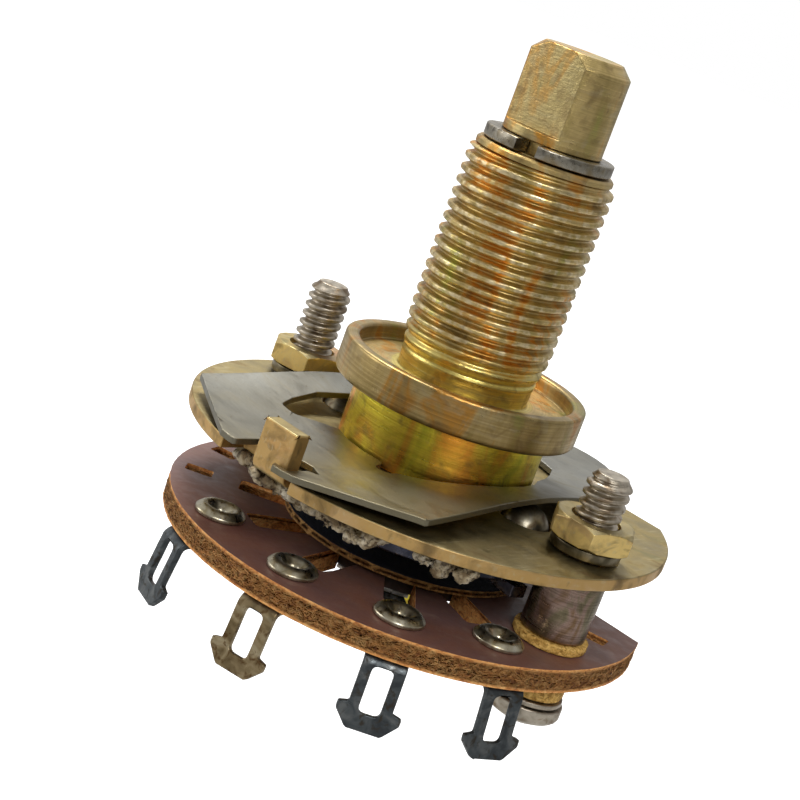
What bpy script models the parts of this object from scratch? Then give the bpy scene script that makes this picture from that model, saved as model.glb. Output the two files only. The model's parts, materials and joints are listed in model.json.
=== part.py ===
"""Single-wafer rotary selector switch with a 3/8 inch threaded bushing and a 1/4 inch D shaft.

Frame: +Z along the shaft towards its knob end, origin on the shaft axis at its tail face.
+X runs through the two clamping screws and the locating tab stands on the -Y side.
Sizes below are in millimetres. Heights are measured from the top of the base plate and
are lifted by BASE_TOP when the pieces are placed.
"""

import math

import bmesh
import bpy
from mathutils import Matrix, Vector

MM = 0.001
INCH = 25.4
BASE_TOP = 9.2            # top of the base plate above the shaft's tail face
GAP = 0.05                # air between pieces that touch
ROUND = 36                # sides of a large round piece
SMALL_ROUND = 20          # sides of a small round piece

# shaft and its retaining ring
SHAFT_R = INCH / 8
SHAFT_TIP = 27.0
SHAFT_CHAMFER = 0.7
FLAT_DEPTH = 0.85         # D flat, facing -Y
FLAT_FROM = 21.9
GROOVE = (20.45, 21.3)
GROOVE_R = 2.5
TAIL_FROM = -3.9          # the driving flats run from here down
TAIL_HALF_WIDTH = 2.1
RING_R = (2.6, 4.1)
RING_GAP_DEG = 20
RING_GAP_AT = -73

# bushing
THREAD_R = 4.7
THREAD_PITCH = INCH / 32
THREAD_DEPTH = 0.48
THREAD_SPAN = (8.2, 19.9)
NECK_R = 4.25
LEAD_R = 4.4              # plain end above the thread
BUSHING_TOP = 20.4
BUSHING_BORE = 3.25
COLLAR_R = INCH * 5 / 16
COLLAR_SPAN = (4.0, 6.4)
RECESS_R = 7.05
RECESS_FLOOR = 5.4
BOSS_R = 6.35
SPIGOT_R = 4.6
SPIGOT_END = -1.3

# base plate
PLATE_R = INCH * 5 / 8
PLATE_T = INCH / 32
PLATE_BACK_Y = 12.1
TAB_X = (-0.6, 2.1)
TAB_Y = (-15.6, -14.5)
TAB_TOP = 2.5
TAB_FACE_LOW = 0.65       # the tab's front face ends here, above its bend
TAB_ROOT_Y = -14.7
RELIEF_LEFT = (-3.3, -13.6)   # far corner of the cut beside the tab
RELIEF_RIGHT = (2.7, -14.1)
SPIGOT_HOLE_R = 4.68

# detent
BALL_R = INCH / 16
BALL_AT = (8.1, 0)        # radius and angle of the first ball, the second is opposite
BALL_Z = -0.6
BALL_HOLE_R = BALL_R + 0.1
SPRING_T = 0.4
SPRING_FLOOR = 0.12       # underside of the spring along its middle
SPRING_LIFT = 1.5         # extra height over the balls
SPRING_RISE = (2.4, 9.4)  # distances from the middle between which it climbs
SPRING_HOLE = (           # angle and radius round the bushing's boss
    (-164, 7.2), (-148, 8.1), (-133, 9.3), (-125, 10.2), (-122, 9.2), (-121, 6.65), (-107, 6.6),
    (-92, 6.6), (-78, 6.6), (-77, 8.0), (-69, 8.2), (-67, 7.6), (-56, 7.4), (-46, 7.0),
    (-30, 6.7), (-12, 6.6), (6, 6.6), (24, 6.6), (42, 6.7), (54, 7.5), (66, 8.6), (76, 9.9),
    (86, 10.2), (98, 9.7), (112, 8.6), (130, 7.7), (150, 7.1), (172, 6.9),
)
WHEEL_R = 10.0
WHEEL_TOP = -2.26
WHEEL_T = 1.55
STEP_DEG = 30
VALLEY_DEPTH = 0.3
VALLEY_FROM_R = 6.4
STOP_TANG_AT = -11
STOP_TANG_END = 11.05
STOP_TANG_T = 0.5

# rotor
DISC_R = 8.1
DISC_SPAN = (-5.5, -5.0)
ROTOR_R = 5.75
ROTOR_SPAN = (-6.99, -5.9)
BLADE_R = 5.6
BLADE_SPAN = (-7.29, -7.04)
BLADE_REST = -64          # middle of the contact tongue with the switch in its middle position

# wafer, its eyelets and its contacts
WAFER_R = INCH * 5 / 8
WAFER_AT = (0.4, 0.1)     # middle of the rim's circle
WAFER_SPAN = (-7.29, -5.76)
WAFER_BACK_Y = 7.75
WAFER_BORE = 6.0
POSITIONS = (-109.5, -78, -48, -20.5)
OPEN_POSITIONS = (-162, -140, 18, 162)
EYELET_AT = 13.2
EYELET_R = 1.6
EYELET_BORE = 0.75
EYELET_HEAD = 0.55
NOTCH_WIDTH = 2.1
NOTCH_END = 11.0
SLOT_AT = 13.75
SLOT_SIZE = (1.75, 1.25)
LUG_T = 0.4
LUG_FROM = 5.0
LUG_BEND_AT = 15.0
LUG_BEND_R = 0.8
LUG_SPLAY_DEG = 8
LUG_TAIL = 3.8
LUG_HALF_WIDTH = 1.3
BARB_HALF_WIDTH = 1.9
LUG_SLOT = (1.3, 2.85)    # width and length of the wire slot

# struts
STRUT_X = INCH / 2
SCREW_R = 1.4
SCREW_PITCH = INCH / 40
SCREW_DEPTH = 0.3
SCREW_TIPS = {"left": 6.9, "right": 5.2}
SCREW_HOLE_R = 1.55
HEAD_R = 2.35
HEAD_T = 1.5
NUT_FLATS = INCH * 3 / 16
NUT_T = 1.4
NUT_CORNER_DEG = {"left": 11, "right": 6}
LOCK_T = 0.85
LOCK_R = (1.6, 2.2)
SPACER_R = (1.6, 2.05)
SPACER_END = -5.12
WASHER_R = 2.42
LOWER_WASHER_R = 2.15
LOWER_WASHER_T = 1.65
LOWER_LOCK_T = 0.45


def clear_scene():
    for item in list(bpy.data.objects):
        bpy.data.objects.remove(item, do_unlink=True)


def material(name, colour, roughness, metallic):
    made = bpy.data.materials.new(name)
    made.use_nodes = True
    shader = made.node_tree.nodes["Principled BSDF"]
    shader.inputs["Base Color"].default_value = (*colour, 1.0)
    shader.inputs["Roughness"].default_value = roughness
    shader.inputs["Metallic"].default_value = metallic
    return made


def polar(radius, degrees):
    angle = math.radians(degrees)
    return (radius * math.cos(angle), radius * math.sin(angle))


def arc(radius, start, end, steps, centre=(0.0, 0.0)):
    """Points along an arc, both ends included."""
    points = []
    for step in range(steps + 1):
        x, y = polar(radius, start + (end - start) * step / steps)
        points.append((centre[0] + x, centre[1] + y))
    return points


def circle(radius, sides, centre=(0.0, 0.0), turn=0.0):
    return arc(radius, turn, turn + 360 * (sides - 1) / sides, sides - 1, centre)


def box_outline(centre, size, degrees):
    """A rectangle at centre, its first side turned to the given direction."""
    turn = Matrix.Rotation(math.radians(degrees), 2)
    corners = []
    for sx, sy in ((-1, -1), (1, -1), (1, 1), (-1, 1)):
        corner = turn @ Vector((sx * size[0] / 2, sy * size[1] / 2))
        corners.append((centre[0] + corner.x, centre[1] + corner.y))
    return corners


def turned(profile, sides):
    """Spin a profile of (radius, height) points round Z; a closed ring unless it meets the axis."""
    bm = bmesh.new()
    verts = [bm.verts.new((r, 0.0, z)) for r, z in profile]
    edges = [bm.edges.new(pair) for pair in zip(verts, verts[1:])]
    if profile[0][0] > 0 or profile[-1][0] > 0:
        edges.append(bm.edges.new((verts[-1], verts[0])))
    bmesh.ops.spin(
        bm, geom=verts + edges, cent=(0, 0, 0), axis=(0, 0, 1),
        angle=math.tau, steps=sides, use_merge=True,
    )
    bmesh.ops.remove_doubles(bm, verts=bm.verts, dist=1e-5)
    return bm


def sheet(loops, cuts=()):
    """Fill an outline and its holes in the XY plane; cuts are (point, normal) lines to split along."""
    bm = bmesh.new()
    for loop in loops:
        verts = [bm.verts.new((x, y, 0.0)) for x, y in loop]
        for first, second in zip(verts, verts[1:] + verts[:1]):
            bm.edges.new((first, second))
    bmesh.ops.triangle_fill(bm, use_beauty=True, use_dissolve=False, edges=bm.edges[:])
    for point, normal in cuts:
        bmesh.ops.bisect_plane(
            bm, geom=bm.verts[:] + bm.edges[:] + bm.faces[:],
            plane_co=(*point, 0.0), plane_no=(*normal, 0.0), dist=1e-5,
        )
    bmesh.ops.triangulate(bm, faces=bm.faces[:])
    return bm


def thicken(bm, low, high):
    """Give a flat sheet its thickness, from height low to height high."""
    for vert in bm.verts:
        vert.co.z = low
    grown = bmesh.ops.extrude_face_region(bm, geom=bm.faces[:])
    top = [item for item in grown["geom"] if isinstance(item, bmesh.types.BMVert)]
    bmesh.ops.translate(bm, verts=top, vec=(0, 0, high - low))
    return bm


def plate(loops, low, high):
    return thicken(sheet(loops), low, high)


def place(name, bm, finish, parent=None, at=(0.0, 0.0, 0.0), turn=0.0, sharp=35):
    """Make a mesh in metres from a shape in millimetres and put it at its place."""
    bmesh.ops.recalc_face_normals(bm, faces=bm.faces[:])
    bmesh.ops.scale(bm, verts=bm.verts, vec=(MM, MM, MM))
    mesh = bpy.data.meshes.new(name)
    bm.to_mesh(mesh)
    bm.free()
    mesh.shade_smooth()
    mesh.set_sharp_from_angle(angle=math.radians(sharp))
    mesh.materials.append(finish)
    made = bpy.data.objects.new(name, mesh)
    bpy.context.scene.collection.objects.link(made)
    made.parent = parent
    made.location = Vector(at) * MM
    made.rotation_euler.z = math.radians(turn)
    return made


def empty(name, parent=None, at=(0.0, 0.0, 0.0)):
    made = bpy.data.objects.new(name, None)
    bpy.context.scene.collection.objects.link(made)
    made.parent = parent
    made.location = Vector(at) * MM
    return made


def cut(target, bm, name, operation="DIFFERENCE"):
    """Apply a hidden tool shape to a piece with a Boolean."""
    tool = place(name, bm, target.data.materials[0], target.parent, target.location / MM)
    tool.rotation_euler = target.rotation_euler
    tool.hide_render = True
    tool.display_type = "WIRE"
    change = target.modifiers.new(name, "BOOLEAN")
    change.operation = operation
    change.object = tool


def groove_rings(radius, depth, pitch, low, high):
    """Outline of thread crests and roots between two heights, from the bottom up."""
    points = []
    for turn in range(int((high - low) / pitch)):
        z = low + turn * pitch
        points += [(radius - depth, z), (radius, z + pitch * 0.4), (radius, z + pitch * 0.6)]
    return points


def c_ring(inner, outer, gap, at, steps):
    start, end = at + gap / 2, at + 360 - gap / 2
    return arc(outer, start, end, steps) + arc(inner, end, start, steps)


def shaft(finish, spindle):
    tail = -BASE_TOP
    profile = [
        (0, tail), (SHAFT_R - 0.3, tail), (SHAFT_R, tail + 0.3),
        (SHAFT_R, GROOVE[0]), (GROOVE_R, GROOVE[0]), (GROOVE_R, GROOVE[1]), (SHAFT_R, GROOVE[1]),
        (SHAFT_R, SHAFT_TIP - SHAFT_CHAMFER), (SHAFT_R - SHAFT_CHAMFER, SHAFT_TIP), (0, SHAFT_TIP),
    ]
    made = place("shaft", turned(profile, ROUND), finish, spindle)
    width = 4 * SHAFT_R
    flat_y = -(SHAFT_R - FLAT_DEPTH)
    knob_flat = [(-width, flat_y - width), (width, flat_y - width), (width, flat_y), (-width, flat_y)]
    cut(made, plate([knob_flat], FLAT_FROM, SHAFT_TIP + 1), "knob_flat_tool")
    for side, name in ((-1, "front"), (1, "back")):
        edge = side * TAIL_HALF_WIDTH
        far = side * width
        outline = [(-width, edge), (width, edge), (width, far), (-width, far)]
        cut(made, plate([outline], tail - 1, TAIL_FROM), name + "_tail_flat_tool")


def retaining_ring(finish, spindle):
    outline = c_ring(*RING_R, RING_GAP_DEG, RING_GAP_AT, 30)
    ring = plate([outline], GROOVE[0] + GAP, GROOVE[1] - GAP)
    place("retaining_ring", ring, finish, spindle)


def bushing(finish, frame):
    crest_top = THREAD_SPAN[1]
    profile = [
        (BUSHING_BORE, SPIGOT_END), (SPIGOT_R, SPIGOT_END), (SPIGOT_R, GAP), (BOSS_R, GAP),
        (BOSS_R, COLLAR_SPAN[0]), (COLLAR_R - 0.2, COLLAR_SPAN[0]), (COLLAR_R, COLLAR_SPAN[0] + 0.2),
        (COLLAR_R, COLLAR_SPAN[1] - 0.15), (COLLAR_R - 0.15, COLLAR_SPAN[1]),
        (RECESS_R, COLLAR_SPAN[1]), (RECESS_R, RECESS_FLOOR), (NECK_R, RECESS_FLOOR),
        (NECK_R, THREAD_SPAN[0]),
    ]
    profile += groove_rings(THREAD_R, THREAD_DEPTH, THREAD_PITCH, *THREAD_SPAN)
    profile += [(THREAD_R - THREAD_DEPTH, crest_top), (LEAD_R, crest_top + 0.05)]
    profile += [(LEAD_R, BUSHING_TOP - 0.15), (LEAD_R - 0.15, BUSHING_TOP)]
    profile.append((BUSHING_BORE, BUSHING_TOP))
    place("bushing", turned(profile, ROUND), finish, frame)


def base_plate(finish, frame):
    """A disc with a flat back and a locating tab bent up between two relief cuts."""
    back = math.degrees(math.asin(PLATE_BACK_Y / PLATE_R))
    left = -90 + math.degrees(math.asin(RELIEF_LEFT[0] / PLATE_R))
    right = -90 + math.degrees(math.asin(RELIEF_RIGHT[0] / PLATE_R))
    outline = arc(PLATE_R, 180 - back, 360 + left, 24)
    outline += [RELIEF_LEFT, (TAB_X[0], RELIEF_LEFT[1]), (TAB_X[0], TAB_ROOT_Y)]
    outline += [(TAB_X[1], TAB_ROOT_Y), (TAB_X[1], RELIEF_RIGHT[1]), RELIEF_RIGHT]
    outline += arc(PLATE_R, right, back, 24)
    holes = [circle(SPIGOT_HOLE_R, ROUND)]
    for side in (-1, 1):
        holes.append(circle(SCREW_HOLE_R, SMALL_ROUND, (side * STRUT_X, 0)))
    for turn in (0, 180):
        holes.append(circle(BALL_HOLE_R, SMALL_ROUND, polar(BALL_AT[0], BALL_AT[1] + turn)))
    made = place("base_plate", plate([outline] + holes, -PLATE_T, 0), finish, frame)
    near, far = TAB_Y
    side_view = [
        (far, -PLATE_T), (near + 0.8, -PLATE_T), (near + 0.25, -0.4), (near, TAB_FACE_LOW),
        (near, TAB_TOP), (far, TAB_TOP),
    ]
    tab = plate([side_view], *TAB_X)
    tab.transform(Matrix(((0, 0, 1, 0), (1, 0, 0, 0), (0, 1, 0, 0), (0, 0, 0, 1))))
    cut(made, tab, "tab_form", "UNION")


def smooth(share):
    share = min(max(share, 0.0), 1.0)
    return share * share * (3 - 2 * share)


def spring_height(x, y):
    """The spring lies low along its middle, rises over the balls and droops at its corners."""
    low, high = SPRING_RISE
    over_balls = min(max((abs(x) - low) / (high - low), 0.0), 1.0)
    droop = 1 - 0.61 * smooth(abs(y) / 14)
    return SPRING_FLOOR + SPRING_LIFT * over_balls * droop


def detent_spring(finish, frame):
    """A bowed plate: pointed at the tab, rounded at the back, with a lobed hole for the boss."""
    left = [(-1.8, -13.9), (-1.8, -16.2), (-3.0, -16.2), (-10.0, -12.1), (-9.6, -6.5), (-9.2, 0.0)]
    back = [(9.2 * math.cos(a), 17.0 * math.sin(a)) for a in
            (math.radians(180 - 12 * step) for step in range(1, 15))]
    right = [(9.2, 0.0), (9.6, -6.5), (10.0, -12.1), (3.3, -16.2), (1.6, -16.3), (1.2, -15.75)]
    right += [(2.4, -15.75), (2.4, -14.1)]
    notch = [(3.2, -13.9), (1.9, -13.2)]
    hole = [polar(radius, turn) for turn, radius in SPRING_HOLE]
    lines = [((side * x, 0), (1, 0)) for side in (-1, 1) for x in (*SPRING_RISE, 4.7, 7.0)]
    lines += [((0, y), (0, 1)) for y in (-10, -6, 6, 10)]
    bm = thicken(sheet([left + back + right + notch, hole], lines), 0, SPRING_T)
    for vert in bm.verts:
        vert.co.z += spring_height(vert.co.x, vert.co.y)
    place("detent_spring", bm, finish, frame, sharp=50)


def detent_ball(name, turn, finish, frame):
    bm = bmesh.new()
    bmesh.ops.create_icosphere(bm, subdivisions=3, radius=BALL_R)
    x, y = polar(BALL_AT[0], BALL_AT[1] + turn)
    place(name, bm, finish, frame, (x, y, BALL_Z))


def index_wheel(finish, spindle):
    """A steel disc with a valley under each ball at every step and a stop tang bent down."""
    bore = circle(SHAFT_R + GAP, ROUND)
    made = place(
        "index_wheel", plate([circle(WHEEL_R, ROUND * 2), bore], WHEEL_TOP - WHEEL_T, WHEEL_TOP),
        finish, spindle,
    )
    ball_turn = BALL_AT[1]
    half = 1.05
    low, high = WHEEL_TOP - VALLEY_DEPTH, WHEEL_TOP + 1
    valleys = bmesh.new()
    for step in range(360 // STEP_DEG):
        turn = Matrix.Rotation(math.radians(ball_turn + step * STEP_DEG), 4, "Z")
        ends = []
        for r in (VALLEY_FROM_R, WHEEL_R + 1):
            section = ((-half * 0.3, low), (half * 0.3, low), (half * 3, high), (-half * 3, high))
            ends.append([valleys.verts.new(turn @ Vector((r, y, z))) for y, z in section])
        near, far = ends
        valleys.faces.new(near)
        valleys.faces.new(far)
        for corner in range(4):
            after = (corner + 1) % 4
            valleys.faces.new((near[corner], near[after], far[after], far[corner]))
    cut(made, valleys, "valley_tools")
    inner = WHEEL_R - 1.5
    middle = polar((inner + STOP_TANG_END) / 2, STOP_TANG_AT)
    tang = box_outline(middle, (STOP_TANG_END - inner, 1.2), STOP_TANG_AT)
    under = WHEEL_TOP - WHEEL_T
    cut(made, plate([tang], under - 0.02, under + STOP_TANG_T), "tang_form", "UNION")


def tail_hole():
    """The shaft's tail section: a circle with two flats, plus clearance."""
    radius, half = SHAFT_R + GAP, TAIL_HALF_WIDTH + GAP
    reach = math.degrees(math.asin(half / radius))
    return arc(radius, -reach, reach, 8) + arc(radius, 180 - reach, 180 + reach, 8)


def rotor_parts(fibre, phenolic, silver, spindle):
    place("insulating_disc", plate([circle(DISC_R, ROUND * 2), tail_hole()], *DISC_SPAN), fibre, spindle)
    place("rotor", plate([circle(ROTOR_R, ROUND), tail_hole()], *ROTOR_SPAN), phenolic, spindle)
    tongue = 26
    outline = arc(BLADE_R, BLADE_REST - tongue, BLADE_REST + tongue, 12)
    outline += arc(BLADE_R - 1.2, BLADE_REST + tongue, BLADE_REST + 360 - tongue, 28)
    place("rotor_contact", plate([outline, tail_hole()], *BLADE_SPAN), silver, spindle)


def wafer_opening():
    """The rotor's bore with a notch running out towards each contact."""
    notches = sorted(POSITIONS + OPEN_POSITIONS[:2])
    points = []
    half = math.degrees(math.asin(NOTCH_WIDTH / 2 / WAFER_BORE))
    for index, turn in enumerate(notches):
        out = Vector(polar(1, turn))
        side = Vector((-out.y, out.x)) * NOTCH_WIDTH / 2
        points += [tuple(out * NOTCH_END - side), tuple(out * NOTCH_END + side)]
        following = notches[(index + 1) % len(notches)]
        span = (following - turn) % 360 - 2 * half
        steps = max(2, round(span / 9))
        points += arc(WAFER_BORE, turn + half, turn + half + span, steps)
    return points


def wafer(finish, frame):
    flat_turn = math.degrees(math.asin((WAFER_BACK_Y - WAFER_AT[1]) / WAFER_R))
    loops = [arc(WAFER_R, 180 - flat_turn, 360 + flat_turn, 60, WAFER_AT), wafer_opening()]
    loops += [circle(EYELET_BORE + 0.05, 16, polar(EYELET_AT, turn)) for turn in POSITIONS]
    loops += [box_outline(polar(SLOT_AT, turn), SLOT_SIZE, turn) for turn in OPEN_POSITIONS]
    loops += [circle(SCREW_HOLE_R, SMALL_ROUND, (side * STRUT_X, 0)) for side in (-1, 1)]
    place("wafer", plate(loops, *WAFER_SPAN), finish, frame)


def lug_path(length):
    """Centre of the strip's upper face and its direction at a distance along the strip."""
    start = Vector((LUG_FROM, WAFER_SPAN[0] - GAP))
    flat = LUG_BEND_AT - LUG_FROM
    turn = math.radians(90 - LUG_SPLAY_DEG)
    if length <= flat:
        return start + Vector((length, 0)), 0.0
    centre = start + Vector((flat, -LUG_BEND_R))
    angle = min((length - flat) / LUG_BEND_R, turn)
    point = centre + LUG_BEND_R * Vector((math.sin(angle), math.cos(angle)))
    beyond = max(length - flat - turn * LUG_BEND_R, 0.0)
    return point + beyond * Vector((math.cos(angle), -math.sin(angle))), angle


def contact_lug(name, turn, finish, frame):
    """A contact finger, an eyelet seat and a slotted solder tail in one bent strip."""
    flat = LUG_BEND_AT - LUG_FROM
    bend = math.radians(90 - LUG_SPLAY_DEG) * LUG_BEND_R
    tail = flat + bend
    seat = EYELET_AT - LUG_FROM
    end = tail + LUG_TAIL
    wide, barb = LUG_HALF_WIDTH, BARB_HALF_WIDTH
    side = [
        (0, 0.75), (2.0, 1.1), (seat - 2.0, 1.1), (seat - 1.4, wide), (tail, wide),
        (end - 1.55, wide), (end - 1.4, barb), (end - 0.95, barb), (end - 0.1, 1.15), (end, 1.0),
    ]
    outline = side + [(s, -w) for s, w in reversed(side)]
    half, corner = LUG_SLOT[0] / 2, 0.4
    low, high = end - 1.05 - LUG_SLOT[1], end - 1.05
    slot = []
    for sx, sy, start in ((high, half, 0), (low, half, 90), (low, -half, 180), (high, -half, 270)):
        middle = (sx - math.copysign(corner, sx - (low + high) / 2), sy - math.copysign(corner, sy))
        slot += arc(corner, start, start + 90, 3, middle)
    hole = circle(EYELET_BORE + 0.05, 16, (seat, 0))
    lines = [((flat + bend * step / 5, 0), (1, 0)) for step in range(6)]
    bm = thicken(sheet([outline, slot, hole], lines), 0, LUG_T)
    for vert in bm.verts:
        s, w, depth = vert.co
        point, angle = lug_path(s)
        point = point - depth * Vector((math.sin(angle), math.cos(angle)))
        vert.co = (point.x, w, point.y)
    place(name, bm, finish, frame, turn=turn)


def eyelet(name, turn, finish, frame):
    """A rolled eyelet that holds one contact lug under the wafer."""
    top, bottom = WAFER_SPAN[1] + GAP, WAFER_SPAN[0] - LUG_T - 2 * GAP
    bore = EYELET_BORE - 0.2
    profile = [
        (bore, bottom - 0.25), (EYELET_R - 0.5, bottom - 0.25), (EYELET_R - 0.4, bottom),
        (EYELET_BORE - 0.02, bottom), (EYELET_BORE - 0.02, top), (EYELET_R, top),
        (EYELET_R - 0.12, top + 0.22), (EYELET_R - 0.5, top + EYELET_HEAD),
        (bore + 0.3, top + EYELET_HEAD), (bore, top + 0.1),
    ]
    place(name, turned(profile, SMALL_ROUND), finish, frame, (*polar(EYELET_AT, turn), 0))


def strut(side, x, finishes, frame):
    """One clamping screw with everything threaded on it, from its head up to its nut."""
    steel, dark_steel, zinc, fibre = finishes
    at = (x, 0, 0)
    wafer_low, wafer_high = WAFER_SPAN
    washer_low = wafer_low - GAP - LOWER_WASHER_T
    lock_low = washer_low - GAP - LOWER_LOCK_T
    head_top = lock_low - GAP
    tip = SCREW_TIPS[side]
    nut_low = GAP + LOCK_T + GAP
    thread_low = nut_low + NUT_T + 0.2
    crest_count = int((tip - 0.3 - thread_low) / SCREW_PITCH)
    thread_high = thread_low + crest_count * SCREW_PITCH + 0.01
    profile = [
        (0, head_top - HEAD_T), (HEAD_R * 0.45, head_top - HEAD_T * 0.95),
        (HEAD_R * 0.8, head_top - HEAD_T * 0.8), (HEAD_R, head_top - HEAD_T * 0.55),
        (HEAD_R, head_top), (SCREW_R, head_top), (SCREW_R, thread_low),
    ]
    profile += groove_rings(SCREW_R, SCREW_DEPTH, SCREW_PITCH, thread_low, thread_high)
    profile += [(SCREW_R - 0.05, thread_high + 0.05), (SCREW_R - 0.4, tip), (0, tip)]
    made = place("screw_" + side, turned(profile, SMALL_ROUND), steel, frame, at)
    slot = [(-HEAD_R * 1.2, -0.4), (HEAD_R * 1.2, -0.4), (HEAD_R * 1.2, 0.4), (-HEAD_R * 1.2, 0.4)]
    cut(made, plate([slot], head_top - HEAD_T - 1, head_top - HEAD_T * 0.5), "slot_tool_" + side)

    bore = circle(SCREW_HOLE_R, SMALL_ROUND)
    corner = NUT_FLATS / math.sqrt(3)
    hexagon = circle(corner, 6, turn=NUT_CORNER_DEG[side])
    nut = place("nut_" + side, plate([hexagon, bore], nut_low, nut_low + NUT_T), zinc, frame, at)
    nut_top, drop = nut_low + NUT_T, 0.25
    chamfer = [
        (0, nut_low - 0.1), (corner - drop, nut_low - 0.1), (corner + 0.05, nut_low + drop),
        (corner + 0.05, nut_top - drop), (NUT_FLATS / 2 - 0.05, nut_top + 0.02), (0, nut_top + 0.02),
    ]
    cut(nut, turned(chamfer, ROUND), "nut_chamfer_" + side, "INTERSECT")

    ring = c_ring(*LOCK_R, 14, 25, 20)
    place("lock_washer_" + side, plate([ring], GAP, GAP + LOCK_T), dark_steel, frame, at)
    place("lower_lock_washer_" + side, plate([ring], lock_low, lock_low + LOWER_LOCK_T), steel, frame, at)
    tube = [circle(SPACER_R[1], SMALL_ROUND), circle(SPACER_R[0], SMALL_ROUND)]
    place("spacer_" + side, plate(tube, SPACER_END, -PLATE_T - GAP), dark_steel, frame, at)
    upper = plate([circle(WASHER_R, SMALL_ROUND), bore], wafer_high + GAP, SPACER_END - GAP)
    lower = plate([circle(LOWER_WASHER_R, SMALL_ROUND), bore], washer_low, washer_low + LOWER_WASHER_T)
    place("upper_fibre_washer_" + side, upper, fibre, frame, at)
    place("lower_fibre_washer_" + side, lower, fibre, frame, at)


def build():
    clear_scene()
    zinc = material("zinc", (0.55, 0.46, 0.24), 0.38, 1.0)
    brass = material("plated_brass", (0.62, 0.52, 0.28), 0.32, 1.0)
    nickel = material("nickel", (0.52, 0.51, 0.48), 0.35, 1.0)
    steel = material("steel", (0.42, 0.39, 0.36), 0.38, 1.0)
    dark_steel = material("dark_steel", (0.18, 0.16, 0.15), 0.42, 1.0)
    phenolic = material("phenolic", (0.19, 0.13, 0.14), 0.5, 0.0)
    fibre = material("fibre", (0.42, 0.24, 0.07), 0.8, 0.0)
    tarnished = material("tarnished_contact", (0.20, 0.21, 0.21), 0.5, 1.0)

    frame = empty("fixed_frame", at=(0, 0, BASE_TOP))
    spindle = empty("spindle", frame)
    shaft(brass, spindle)
    retaining_ring(steel, spindle)
    index_wheel(dark_steel, spindle)
    rotor_parts(fibre, phenolic, nickel, spindle)
    bushing(brass, frame)
    base_plate(zinc, frame)
    detent_spring(nickel, frame)
    detent_ball("detent_ball_right", 0, steel, frame)
    detent_ball("detent_ball_left", 180, steel, frame)
    wafer(phenolic, frame)
    for number, turn in enumerate(POSITIONS, 1):
        contact_lug("contact_lug_%d" % number, turn, tarnished, frame)
        eyelet("eyelet_%d" % number, turn, nickel, frame)
    for side, x in (("left", -STRUT_X), ("right", STRUT_X)):
        strut(side, x, (steel, dark_steel, zinc, fibre), frame)


build()
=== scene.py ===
"""Looks of a single-wafer rotary selector switch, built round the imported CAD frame.

Shapes are drawn in millimetres, with the shaft's axis at x = y = 0 and heights measured from the
base plate's top; finish_piece moves them to the frame's metres. Radii and spans that the CAD nodes
carry are read from their boxes, and the rest are the switch's driving dimensions.
"""

import json
import math
import random

import bmesh
import bpy
from mathutils import Matrix, Vector, noise


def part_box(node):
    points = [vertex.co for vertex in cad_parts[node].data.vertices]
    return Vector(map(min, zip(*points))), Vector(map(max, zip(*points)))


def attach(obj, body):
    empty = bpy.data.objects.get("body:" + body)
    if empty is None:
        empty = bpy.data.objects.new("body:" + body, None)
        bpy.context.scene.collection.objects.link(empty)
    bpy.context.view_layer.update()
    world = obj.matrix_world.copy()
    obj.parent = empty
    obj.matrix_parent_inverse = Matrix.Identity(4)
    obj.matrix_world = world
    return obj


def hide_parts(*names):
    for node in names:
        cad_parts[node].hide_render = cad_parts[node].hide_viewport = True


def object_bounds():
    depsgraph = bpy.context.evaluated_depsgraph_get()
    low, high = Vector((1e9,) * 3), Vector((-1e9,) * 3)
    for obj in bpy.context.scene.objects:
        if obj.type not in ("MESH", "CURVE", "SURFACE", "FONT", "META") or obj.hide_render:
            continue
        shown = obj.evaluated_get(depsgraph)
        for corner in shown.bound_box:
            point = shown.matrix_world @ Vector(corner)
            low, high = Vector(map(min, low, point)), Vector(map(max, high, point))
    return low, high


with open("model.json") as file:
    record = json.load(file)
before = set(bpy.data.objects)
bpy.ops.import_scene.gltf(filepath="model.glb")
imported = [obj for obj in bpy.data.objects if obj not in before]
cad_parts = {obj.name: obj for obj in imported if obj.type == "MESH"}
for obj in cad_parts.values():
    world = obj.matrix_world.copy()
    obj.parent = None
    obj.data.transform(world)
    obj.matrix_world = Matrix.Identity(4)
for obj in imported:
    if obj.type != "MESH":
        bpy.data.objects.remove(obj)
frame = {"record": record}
cad_low, cad_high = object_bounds()

MM = 0.001
INCH = 25.4
PLATE_T = INCH / 32
BASE_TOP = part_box("base_plate")[0].z / MM + PLATE_T
BODY_OF = {
    node: body
    for body, members in frame["record"]["behaviour"]["bodies"].items()
    for node in members
}
GAP = 0.05


def span(node):
    """Lowest and highest z of a CAD node, in millimetres above the base plate's top."""
    low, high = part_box(node)
    return low.z / MM - BASE_TOP, high.z / MM - BASE_TOP


def reach(node):
    """Half of a CAD node's width along X, in millimetres."""
    low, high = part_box(node)
    return (high.x - low.x) / 2 / MM


def centre(node):
    """Middle of a CAD node seen from above, in millimetres."""
    low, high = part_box(node)
    return ((low.x + high.x) / 2 / MM, (low.y + high.y) / 2 / MM)


# outlines

def polar(radius, degrees):
    angle = math.radians(degrees)
    return (radius * math.cos(angle), radius * math.sin(angle))


def arc(radius, start, end, steps, middle=(0.0, 0.0)):
    """Points along an arc, both ends included."""
    points = []
    for step in range(steps + 1):
        x, y = polar(radius, start + (end - start) * step / steps)
        points.append((middle[0] + x, middle[1] + y))
    return points


def circle(radius, sides, middle=(0.0, 0.0), turn=0.0):
    """A regular polygon with its corners on a circle."""
    return arc(radius, turn, turn + 360 * (sides - 1) / sides, sides - 1, middle)


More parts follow.
